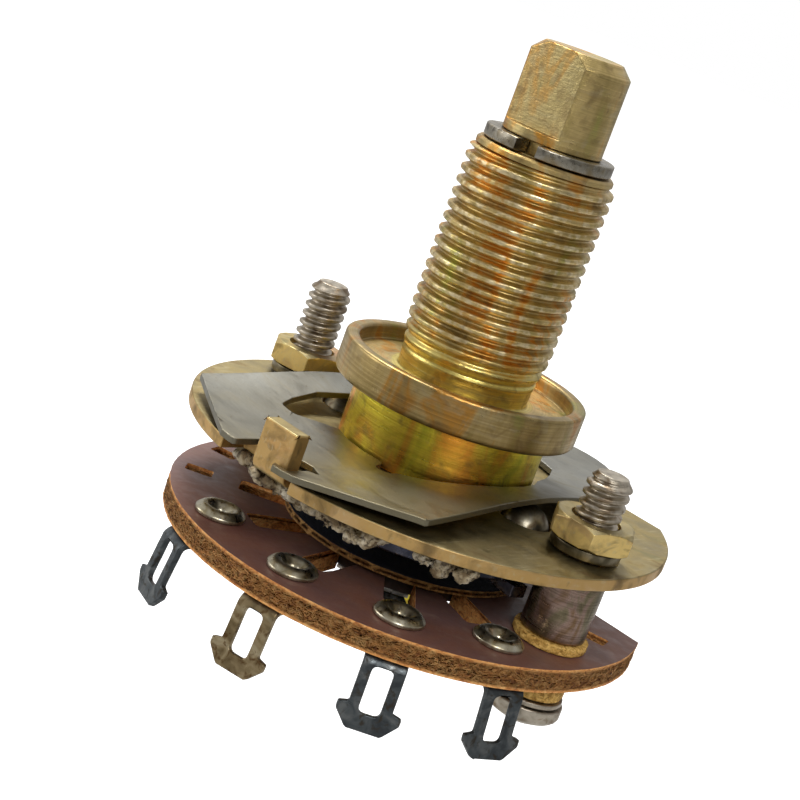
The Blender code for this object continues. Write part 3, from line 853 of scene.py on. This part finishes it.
def grease(finish):
    """Old grease squeezed out between the plate and the wheel, dried into cracked lumps."""
    pick = random.Random(GREASE_SEED)
    bm = bmesh.new()
    for first, last, radius, height, size, count in GREASE:
        for lump in range(count):
            turn = first + (last - first) * (lump + pick.random()) / count
            x, y = polar(radius + pick.uniform(-0.8, 0.8), turn)
            z = height + pick.uniform(-0.35, 0.35)
            scale = size * pick.uniform(0.55, 1.1)
            place = Matrix.Translation((x, y, min(z, -PLATE_T - 0.6 * scale)))
            wide, tall = pick.uniform(0.7, 1.4), pick.uniform(0.5, 1.0)
            shape = Matrix.Diagonal((scale * wide, scale / wide, scale * tall, 1))
            bmesh.ops.create_icosphere(bm, subdivisions=2, radius=1, matrix=place @ shape)
    made = to_object("dried_grease", bm, finish)
    remesh = made.modifiers.new("skin", "REMESH")
    remesh.mode = "VOXEL"
    remesh.voxel_size = GREASE_CELL
    bake_modifiers(made)
    for vert in made.data.vertices:
        x, y, z = vert.co
        swell = 0.35 * rough(x, y, z, 0.9) + 0.16 * rough(x, y, z, 0.4)
        vert.co += vert.normal * (swell + 0.08 * rough(x, y, z, 0.15))
        vert.co.z = min(vert.co.z, -PLATE_T - 0.01)
    made.data.transform(Matrix.Scale(MM, 4) @ Matrix.Translation((0, 0, BASE_TOP)))
    made.data.shade_smooth()
    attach(made, "frame")


# finishes

class Finish:
    """One material and the few node steps that every finish uses."""

    def __init__(self, name, metallic, roughness, specular=0.5):
        self.material = bpy.data.materials.new(name)
        self.material.use_nodes = True
        self.tree = self.material.node_tree
        self.shader = self.tree.nodes["Principled BSDF"]
        self.shader.inputs["Metallic"].default_value = metallic
        self.shader.inputs["Roughness"].default_value = roughness
        self.shader.inputs["Specular IOR Level"].default_value = specular
        spot = self.add("ShaderNodeTexCoord", {}, "Object")
        self.place = self.scaled(spot, (1 / MM,) * 3)

    def add(self, kind, inputs, output=0, **settings):
        made = self.tree.nodes.new(kind)
        for key, value in settings.items():
            setattr(made, key, value)
        for key, value in inputs.items():
            if isinstance(value, bpy.types.NodeSocket):
                self.tree.links.new(value, made.inputs[key])
            else:
                made.inputs[key].default_value = value
        return made.outputs[output]

    def scaled(self, vector, by):
        return self.add("ShaderNodeVectorMath", {0: vector, 1: by}, operation="MULTIPLY")

    def part(self, vector, axis):
        """One component of a vector."""
        return self.add("ShaderNodeSeparateXYZ", {0: vector}, axis)

    def facing(self, axis):
        """One component of the surface's direction."""
        return self.part(self.add("ShaderNodeNewGeometry", {}, "Normal"), axis)

    def noise(self, at, scale=1.0, detail=4.0, distortion=0.0):
        inputs = {"Vector": at, "Scale": scale, "Detail": detail, "Distortion": distortion}
        return self.add("ShaderNodeTexNoise", inputs)

    def maths(self, operation, first, second=0.0):
        return self.add("ShaderNodeMath", {0: first, 1: second}, operation=operation)

    def times(self, first, second):
        return self.maths("MULTIPLY", first, second)

    def spread(self, value, low, high, to_low=0.0, to_high=1.0):
        inputs = {0: value, 1: low, 2: high, 3: to_low, 4: to_high}
        return self.add("ShaderNodeMapRange", inputs, clamp=True)

    def mix(self, share, first, second, blend="MIX"):
        first, second = (
            (*c, 1.0) if isinstance(c, tuple) else c for c in (first, second)
        )
        inputs = {0: share, 6: first, 7: second}
        return self.add("ShaderNodeMix", inputs, 2, data_type="RGBA", blend_type=blend)

    def stain(self, base, colour, where, low, high, most):
        """Mix in a colour where a noise climbs from low to high, up to a share of most."""
        return self.mix(self.spread(where, low, high, 0.0, most), base, colour)

    def ramp(self, value, stops):
        made = self.tree.nodes.new("ShaderNodeValToRGB")
        self.tree.links.new(value, made.inputs[0])
        elements = made.color_ramp.elements
        elements[0].position, elements[1].position = stops[0][0], stops[-1][0]
        elements[0].color = (*stops[0][1], 1.0)
        elements[1].color = (*stops[-1][1], 1.0)
        for position, colour in stops[1:-1]:
            elements.new(position).color = (*colour, 1.0)
        return made.outputs[0]

    def stretched(self, by, detail, distortion=0.0):
        """Noise drawn out along the axes with the smaller scales."""
        return self.noise(self.scaled(self.place, by), 1.0, detail, distortion)

    def grit(self, scale, detail, depth):
        """Fine noise as a bump."""
        return self.noise(self.place, scale, detail), depth

    def mottle(self, scale, detail, distortion, stops):
        """Colours from noise with features of about 1 / scale millimetres."""
        return self.ramp(self.noise(self.place, scale, detail, distortion), stops)

    def turned(self, along=7.0, round_about=0.05):
        """Coordinates that make noise into lathe lines round the shaft's axis."""
        parts = self.part(self.place, 0).node.outputs
        flat = self.add("ShaderNodeCombineXYZ", {0: parts[0], 1: parts[1]})
        r = self.add("ShaderNodeVectorMath", {0: flat}, 1, operation="LENGTH")
        lines = self.add("ShaderNodeCombineXYZ", {
            0: self.times(r, along), 2: self.times(parts[2], along)})
        drift = self.scaled(self.place, (round_about,) * 3)
        return self.add("ShaderNodeVectorMath", {0: lines, 1: drift}, operation="ADD"), r, parts[2]

    def colour(self, value):
        self.tree.links.new(value, self.shader.inputs["Base Color"])

    def roughness(self, value, low, high, to_low, to_high):
        value = self.spread(value, low, high, to_low, to_high)
        self.tree.links.new(value, self.shader.inputs["Roughness"])

    def bump(self, *heights):
        """Bumps as (height, depth in millimetres), one on another."""
        normal = None
        for height, depth in heights:
            inputs = {"Height": height, "Strength": 1.0, "Distance": depth * MM}
            if normal:
                inputs["Normal"] = normal
            normal = self.add("ShaderNodeBump", inputs)
        self.tree.links.new(normal, self.shader.inputs["Normal"])


OLIVE = (0.54, 0.41, 0.16)
STRAW = (0.74, 0.56, 0.24)
GREEN = (0.48, 0.46, 0.13)
AMBER = (0.76, 0.36, 0.06)
ROSE = (0.52, 0.29, 0.16)
PALE = (0.62, 0.53, 0.32)


def turned_chromate():
    """Yellow passivate on turned brass: lathe lines, iridescent drifts, dirt in the roots."""
    f = Finish("turned_chromate", 1.0, 0.34)
    lines, r, z = f.turned()
    drift = f.stretched((0.34, 0.34, 0.13), 5, 0.9)
    film = f.ramp(drift, [(0.30, GREEN), (0.40, OLIVE), (0.50, STRAW), (0.57, AMBER),
                          (0.64, OLIVE), (0.74, ROSE)])
    patch = f.stretched((0.55, 0.55, 1.1), 4, 1.2)
    film = f.stain(film, PALE, patch, 0.54, 0.68, 0.45)

    def band(first, second):
        """From 0 at the first height above the plate to 1 at the second."""
        return f.spread(z, BASE_TOP + first, BASE_TOP + second)

    neck = f.times(band(8.6, 7.0), f.spread(r, 4.8, 4.6))
    film = f.mix(f.times(neck, 0.7), film, (0.86, 0.74, 0.20))
    boss_film = f.ramp(drift, [(0.30, (0.66, 0.62, 0.06)), (0.42, (0.98, 0.80, 0.08)),
                               (0.54, (0.80, 0.60, 0.07)), (0.66, (0.88, 0.40, 0.06))])
    streak = f.noise(lines, 1.0, 3)
    film = f.stain(film, (0.20, 0.12, 0.04), streak, 0.35, 0.65, 0.4)
    boss_film = f.stain(boss_film, (0.42, 0.22, 0.03), streak, 0.42, 0.62, 0.25)
    film = f.mix(band(4.1, 3.7), film, boss_film)
    flange = f.times(f.spread(r, 6.6, 7.0), band(3.8, 4.1))
    film = f.mix(f.times(flange, 0.42), film, (0.13, 0.08, 0.035))
    threaded = f.times(band(8.0, 9.0), f.spread(r, 4.0, 4.1))
    root = f.times(threaded, f.spread(r, 4.42, 4.26))
    crest = f.times(threaded, f.spread(r, 4.58, 4.68))
    film = f.mix(f.times(root, 0.35), film, (0.22, 0.12, 0.03))
    worn = f.spread(f.noise(f.place, 1.9, 5), 0.46, 0.60, 0.0, 0.75)
    film = f.mix(f.times(crest, worn), film, (0.78, 0.66, 0.42))
    # painted shade: the knob's flat is darkened where it faces -Y, to tone down its reflection
    knob_flat_shade = f.times(f.spread(f.facing(1), -0.96, -0.99), band(21, 21.5))
    film = f.mix(f.times(knob_flat_shade, 0.55), film, (0.30, 0.25, 0.12))
    soil = f.noise(f.place, 0.9, 8, 0.6)
    film = f.stain(film, (0.17, 0.11, 0.05), soil, 0.54, 0.70, 0.55)
    f.colour(film)
    f.roughness(f.maths("ADD", streak, soil), 0.7, 1.3, 0.26, 0.48)
    fine = f.noise(f.turned(16.0, 0.2)[0], 1.0, 2)
    f.bump((streak, 0.016), (fine, 0.008), f.grit(4.5, 6, 0.014))
    return f.material


def sheet_chromate(name, flat_shade, edge):
    """Yellow passivate on zinc-plated steel: scuffed, with painted shade darkening the flats that
    face up or down and an edge colour on the side faces that is partly their own tone and partly
    painted light.
    """
    f = Finish(name, 1.0, 0.38)
    drift = f.stretched((0.22, 0.22, 0.8), 5, 0.8)
    film = f.ramp(drift, [(0.30, (0.36, 0.33, 0.15)), (0.42, OLIVE), (0.52, (0.50, 0.41, 0.20)),
                          (0.62, (0.44, 0.36, 0.18)), (0.72, ROSE)])
    patch = f.noise(f.place, 0.8, 6, 0.9)
    film = f.stain(film, PALE, patch, 0.52, 0.68, 0.5)
    # painted shade and light by facing: flats that face up or down are darkened by flat_shade, and
    # side faces take the edge colour, partly their own tone and partly painted light
    up = f.maths("ABSOLUTE", f.facing(2))
    rim = f.spread(up, 0.75, 0.35)
    flat = f.times(f.spread(up, 0.35, 0.75), flat_shade)
    film = f.mix(flat, film, (0.20, 0.155, 0.07))
    stain = f.noise(f.place, 0.45, 6, 1.0)
    stained = f.stain(edge, (0.20, 0.12, 0.05), stain, 0.42, 0.34, 0.6)
    stained = f.stain(stained, (0.62, 0.40, 0.20), stain, 0.54, 0.62, 0.6)
    film = f.mix(f.times(rim, 0.85), film, stained)
    scuff = f.stretched((6.0, 0.5, 3.0), 3)
    film = f.stain(film, (0.62, 0.54, 0.34), scuff, 0.58, 0.72, 0.35)
    soil = f.noise(f.place, 0.6, 8, 0.5)
    film = f.stain(film, (0.16, 0.11, 0.05), soil, 0.52, 0.72, 0.75)
    f.colour(film)
    f.roughness(soil, 0.3, 0.7, 0.36, 0.60)
    f.bump((scuff, 0.006), f.grit(2.4, 7, 0.014), f.grit(9.0, 4, 0.006))
    return f.material


def spring_nickel():
    """Dull nickel on rolled spring strip: fine scratches along it, with painted shade making it
    darker and browner towards the +X, -Y corner.
    """
    f = Finish("spring_nickel", 1.0, 0.38)
    across = f.maths("SUBTRACT", f.part(f.place, 0), f.part(f.place, 1))
    cloud = f.noise(f.place, 0.20, 5, 0.7)
    # painted shade: the tone darkens and browns from the left wing towards the right-front corner
    corner = f.spread(across, -6.0, 20.0, 0.0, 0.8)
    shade = f.maths("ADD", corner, f.spread(cloud, 0.3, 0.7, -0.15, 0.25))
    tone = f.ramp(shade, [(0.05, (0.25, 0.245, 0.215)), (0.45, (0.20, 0.19, 0.155)),
                          (0.85, (0.205, 0.18, 0.115))])
    grain = f.stretched((0.7, 14.0, 6.0), 3)
    tone = f.stain(tone, (0.16, 0.13, 0.08), grain, 0.40, 0.62, 0.18)
    smear = f.stretched((0.35, 0.8, 0.5), 7, 0.8)
    tone = f.stain(tone, (0.16, 0.13, 0.075), smear, 0.56, 0.76, 0.45)
    specks = f.noise(f.place, 3.2, 4)
    tone = f.stain(tone, (0.10, 0.07, 0.04), specks, 0.66, 0.72, 0.6)
    f.colour(tone)
    f.roughness(smear, 0.35, 0.65, 0.38, 0.50)
    f.bump((grain, 0.004), f.grit(5.0, 6, 0.006))
    return f.material


def plain(name, metallic, roughness, colours, grit, gloss=None):
    """A mottled finish; gloss is the scale and detail of a noise and the roughnesses it spans."""
    f = Finish(name, metallic, roughness)
    f.colour(f.mottle(*colours))
    if gloss:
        scale, detail, low, high = gloss
        f.roughness(f.noise(f.place, scale, detail), 0.35, 0.65, low, high)
    f.bump(f.grit(*grit))
    return f.material


def screw_steel():
    """Plain steel gone slightly pink-grey, with brown in the hollows."""
    return plain("screw_steel", 1.0, 0.34, (1.2, 6, 0.5, [
        (0.34, (0.24, 0.18, 0.12)), (0.46, (0.42, 0.37, 0.29)), (0.60, (0.54, 0.48, 0.39)),
        (0.72, (0.33, 0.25, 0.17))]), (4.0, 6, 0.008), (2.5, 5, 0.30, 0.5))


def ring_steel():
    """The stamped steel of the retaining ring, grey with straw tints."""
    return plain("ring_steel", 1.0, 0.3, (0.9, 5, 0.7, [
        (0.34, (0.19, 0.16, 0.11)), (0.50, (0.33, 0.305, 0.25)), (0.68, (0.26, 0.21, 0.13)),
    ]), (5.0, 5, 0.012), (3.0, 5, 0.22, 0.42))


def ball_steel():
    """Bright steel dulled by old brown oil."""
    f = Finish("ball_steel", 1.0, 0.3)
    oil = f.noise(f.place, 1.4, 6, 0.6)
    f.colour(f.ramp(oil, [(0.36, (0.26, 0.24, 0.19)), (0.52, (0.18, 0.155, 0.105)),
                          (0.68, (0.10, 0.07, 0.04))]))
    f.roughness(oil, 0.4, 0.7, 0.36, 0.55)
    f.bump(f.grit(6.0, 4, 0.003))
    return f.material


def blued_steel():
    """Blue-black hardened steel under a film of oil."""
    return plain("blued_steel", 1.0, 0.32, (0.8, 6, 0.8, [
        (0.34, (0.035, 0.04, 0.065)), (0.52, (0.08, 0.08, 0.10)), (0.68, (0.16, 0.12, 0.09)),
    ]), (3.0, 6, 0.015), (1.7, 6, 0.2, 0.5))


def washer_steel():
    """The dark olive-brown of an oiled lock washer."""
    return plain("washer_steel", 1.0, 0.36, (1.1, 6, 0.7, [
        (0.34, (0.10, 0.085, 0.05)), (0.50, (0.20, 0.17, 0.11)), (0.68, (0.30, 0.26, 0.18)),
    ]), (4.0, 5, 0.008))


def spacer_steel():
    """Dark drawn tube with brown, olive and pink stains along it."""
    f = Finish("spacer_steel", 1.0, 0.3)
    tone = f.ramp(f.stretched((0.7, 0.7, 0.35), 5, 0.9), [
        (0.34, (0.09, 0.075, 0.045)), (0.46, (0.20, 0.165, 0.10)), (0.56, (0.32, 0.22, 0.18)),
        (0.66, (0.20, 0.12, 0.06)), (0.76, (0.40, 0.34, 0.26))])
    line = f.stretched((0.4, 0.4, 9.0), 3)
    f.colour(f.stain(tone, (0.05, 0.035, 0.02), line, 0.45, 0.65, 0.35))
    f.roughness(line, 0.3, 0.7, 0.22, 0.42)
    f.bump((line, 0.008), f.grit(2.0, 6, 0.02))
    return f.material


def eyelet_nickel():
    """Nickel worn through to brass, with grime in the rolled edge."""
    f = Finish("eyelet_nickel", 1.0, 0.26)
    tone = f.mottle(1.3, 5, 0.7, [
        (0.34, (0.34, 0.28, 0.17)), (0.48, (0.48, 0.43, 0.31)), (0.64, (0.56, 0.52, 0.41))])
    soil = f.noise(f.place, 2.6, 7)
    f.colour(f.stain(tone, (0.14, 0.10, 0.06), soil, 0.60, 0.74, 0.6))
    f.roughness(soil, 0.35, 0.65, 0.24, 0.45)
    f.bump((soil, 0.006))
    return f.material


def tarnished(name, low, middle, high, stain):
    """Contact metal gone dull, with solder-grey and brown blotches."""
    f = Finish(name, 0.85, 0.42)
    tone = f.mottle(0.9, 6, 0.9, [(0.32, low), (0.50, middle), (0.68, high)])
    blotch = f.noise(f.place, 2.0, 7, 0.6)
    f.colour(f.stain(tone, stain, blotch, 0.54, 0.66, 0.85))
    f.roughness(blotch, 0.35, 0.65, 0.28, 0.66)
    f.bump((blotch, 0.016), f.grit(7.0, 4, 0.008))
    return f.material


def laminate_face():
    """The wafer's pressed face: maroon phenolic with a faint weave, haze and scratches."""
    f = Finish("laminate_face", 0.0, 0.42, 0.6)
    tone = f.mottle(0.16, 5, 0.6, [
        (0.34, (0.145, 0.055, 0.042)), (0.50, (0.195, 0.082, 0.058)),
        (0.68, (0.150, 0.078, 0.072))])
    fleck = f.stretched((3.0, 9.0, 3.0), 4)
    tone = f.stain(tone, (0.22, 0.11, 0.06), fleck, 0.50, 0.70, 0.35)
    dust = f.noise(f.place, 1.1, 8, 0.5)
    tone = f.stain(tone, (0.27, 0.20, 0.15), dust, 0.56, 0.76, 0.3)
    f.colour(tone)
    f.roughness(dust, 0.3, 0.7, 0.3, 0.6)
    weave = f.stretched((5.0, 1.2, 3.0), 3)
    f.bump((fleck, 0.006), (weave, 0.006), f.grit(3.5, 5, 0.006))
    return f.material


def fibrous(name, dark, middle, light, painted_shade_from=None):
    """Sawn laminate or vulcanised fibre: torn and matt, and near-black above a height as painted
    shade.
    """
    f = Finish(name, 0.0, 0.82, 0.25)
    layer = f.stretched((1.9, 1.9, 3.4), 7, 1.4)
    tuft = f.stretched((7.0, 7.0, 8.0), 5, 0.8)
    tone = f.ramp(layer, [(0.34, dark), (0.48, middle), (0.66, light)])
    tone = f.stain(tone, dark, tuft, 0.46, 0.34, 0.55)
    tone = f.stain(tone, light, tuft, 0.56, 0.70, 0.6)
    if painted_shade_from is not None:
        edge = BASE_TOP + painted_shade_from
        # painted shade: near-black navy over the top face, where the shade under the wheel falls
        oil = f.spread(f.part(f.place, 2), edge - 0.06, edge - 0.02)
        tone = f.mix(oil, tone, (0.012, 0.013, 0.024))
    f.colour(tone)
    f.bump((layer, 0.05), (tuft, 0.035))
    return f.material


def rotor_phenolic():
    """Nearly black moulded phenolic."""
    return plain("rotor_phenolic", 0.0, 0.45, (1.2, 6, 0.4, [
        (0.35, (0.030, 0.018, 0.014)), (0.52, (0.060, 0.036, 0.026)), (0.70, (0.10, 0.06, 0.04)),
    ]), (4.0, 6, 0.02))


def dried_grease():
    """Chalky old grease with brown dust in its pits."""
    f = Finish("dried_grease", 0.0, 0.78, 0.3)
    tone = f.mottle(0.9, 7, 0.8, [
        (0.36, (0.16, 0.11, 0.055)), (0.48, (0.40, 0.32, 0.20)), (0.62, (0.62, 0.55, 0.42))])
    pits = f.noise(f.place, 3.4, 7, 0.4)
    f.colour(f.stain(tone, (0.05, 0.032, 0.018), pits, 0.50, 0.38, 0.8))
    f.bump((pits, 0.10), f.grit(9.0, 5, 0.04))
    return f.material


# studio

FLOOR_DROP = 30
BRIGHT_SIDE = (-0.62, 0.45, 0.64)
ROOM_LIGHT = (0.10, 0.78)
AIM = Vector((-3.07, -1.37, 11.97)) * MM
CAMERA_AT = (67.423, -91.870, 41.742)
CAMERA_LENS = 84.24
CAMERA_ROLL = 20.1
# where each lamp stands in metres, its size and its power
LAMPS = {
    "key": ((-0.22, 0.10, 0.42), 0.22, 2.1),
    "front": ((0.30, -0.28, 0.30), 0.20, 1.1),
    "left": ((-0.34, -0.26, 0.12), 0.22, 0.5),
}


def studio():
    """A pale room that is darker towards the viewer and plain white where the camera sees it."""
    world = bpy.data.worlds.new("room")
    bpy.context.scene.world = world
    world.use_nodes = True
    tree = world.node_tree
    tree.nodes.clear()
    spot = tree.nodes.new("ShaderNodeTexCoord")
    toward = tree.nodes.new("ShaderNodeVectorMath")
    toward.operation = "DOT_PRODUCT"
    toward.inputs[1].default_value = Vector(BRIGHT_SIDE).normalized()
    shade = tree.nodes.new("ShaderNodeMapRange")
    for key, value in ((1, -0.9), (2, 1.0), (3, ROOM_LIGHT[0]), (4, ROOM_LIGHT[1])):
        shade.inputs[key].default_value = value
    room, white = (tree.nodes.new("ShaderNodeBackground") for _ in range(2))
    white.inputs[0].default_value = (1.0, 1.0, 1.0, 1.0)
    white.inputs[1].default_value = 1.0
    seen = tree.nodes.new("ShaderNodeLightPath")
    choose = tree.nodes.new("ShaderNodeMixShader")
    out = tree.nodes.new("ShaderNodeOutputWorld")
    tree.links.new(spot.outputs["Generated"], toward.inputs[0])
    tree.links.new(toward.outputs["Value"], shade.inputs[0])
    tree.links.new(shade.outputs[0], room.inputs[1])
    tree.links.new(seen.outputs["Is Camera Ray"], choose.inputs[0])
    tree.links.new(room.outputs[0], choose.inputs[1])
    tree.links.new(white.outputs[0], choose.inputs[2])
    tree.links.new(choose.outputs[0], out.inputs[0])


def floor():
    """A white card a little way below the switch."""
    low = min(cad_low.z, 0.0) - FLOOR_DROP * MM
    bpy.ops.mesh.primitive_plane_add(size=3.0, location=(0, 0, low))
    made = bpy.context.object
    made.name = "floor"
    f = Finish("floor_card", 0.0, 0.9, 0.1)
    f.colour(f.mottle(0.01, 2, 0.0, [(0.3, (0.47,) * 3), (0.7, (0.49,) * 3)]))
    seen = f.add("ShaderNodeLightPath", {}, "Is Camera Ray")
    f.tree.links.new(seen, f.shader.inputs["Emission Strength"])
    f.shader.inputs["Emission Color"].default_value = (0.90, 0.90, 0.90, 1.0)
    made.data.materials.append(f.material)


def aim(name, data, where, roll=0.0):
    """Stand a lamp or a camera somewhere, in metres, and turn it to the switch."""
    made = add_object(name, data)
    made.location = where
    turn = Matrix.Rotation(math.radians(roll), 3, "Z").to_quaternion()
    made.rotation_mode = "QUATERNION"
    made.rotation_quaternion = (AIM - made.location).to_track_quat("-Z", "Y") @ turn
    return made


def lamp(name, where, size, power):
    """A soft disc of light."""
    light = bpy.data.lights.new(name, "AREA")
    light.shape = "DISK"
    light.size = size
    light.energy = power
    aim(name, light, where)


def camera():
    """The photograph's viewpoint, rolled as the photograph is."""
    lens = bpy.data.cameras.new("camera")
    lens.lens = CAMERA_LENS
    lens.sensor_width = 36.0
    lens.clip_start = 0.001
    bpy.context.scene.camera = aim("camera", lens, Vector(CAMERA_AT) * MM, CAMERA_ROLL)


def switch():
    """Every piece of the switch in its finish."""
    turned, steel, tube, lock = turned_chromate(), screw_steel(), spacer_steel(), washer_steel()
    shaft(turned)
    retaining_ring(ring_steel())
    bushing(turned)
    # 0.6 is the painted shade on the plate's flats; the edge colour on its sides is partly painted
    # light
    base_plate(sheet_chromate("sheet_chromate", 0.6, (0.58, 0.36, 0.13)))
    detent_spring(spring_nickel())
    ball = ball_steel()
    for side in ("right", "left"):
        detent_ball("detent_ball_" + side, ball)
    index_wheel(blued_steel())
    # the disc's top face is painted near-black as painted shade
    insulating_disc(fibrous(
        "disc_fibre", (0.16, 0.07, 0.02), (0.40, 0.20, 0.06), (0.62, 0.36, 0.12),
        painted_shade_from=span("insulating_disc")[1]))
    silver = tarnished("contact_silver", (0.30, 0.28, 0.24), (0.50, 0.47, 0.42),
                       (0.64, 0.62, 0.58), (0.16, 0.13, 0.10))
    rotor(rotor_phenolic(), silver)
    sawn = fibrous("sawn_laminate", (0.42, 0.15, 0.045), (0.74, 0.32, 0.09), (0.90, 0.50, 0.18))
    wafer(laminate_face(), sawn)
    grey = tarnished("lug_grey", (0.045, 0.051, 0.055), (0.08, 0.09, 0.094),
                     (0.14, 0.147, 0.146), (0.05, 0.040, 0.028))
    tan = tarnished("lug_tan", (0.13, 0.09, 0.04), (0.28, 0.21, 0.11),
                    (0.42, 0.35, 0.22), (0.10, 0.05, 0.015))
    nickel = eyelet_nickel()
    for number in range(1, len(POSITIONS) + 1):
        contact_lug(number, tan if number == TAN_LUG else grey)
        eyelet(number, nickel)
    # the nuts' side faces take a much brighter edge colour: a painted highlight
    zinc = sheet_chromate("nut_chromate", 0.35, (0.95, 0.70, 0.26))
    ochre = fibrous("ochre_fibre", (0.24, 0.11, 0.02), (0.64, 0.37, 0.09), (0.88, 0.58, 0.18))
    for side, seed in (("left", 11.0), ("right", 23.0)):
        screw(side, steel)
        nut(side, zinc)
        lock_washer("lock_washer_" + side, lock, 25)
        lock_washer("lower_lock_washer_" + side, steel, 140)
        spacer(side, tube)
        fibre_washer("upper_fibre_washer_" + side, ochre, seed)
        fibre_washer("lower_fibre_washer_" + side, ochre, seed + 5)
    grease(dried_grease())


switch()
studio()
floor()
for lamp_name, (place, size, power) in LAMPS.items():
    lamp(lamp_name, place, size, power)
camera()
bpy.context.scene.view_settings.view_transform = "Standard"
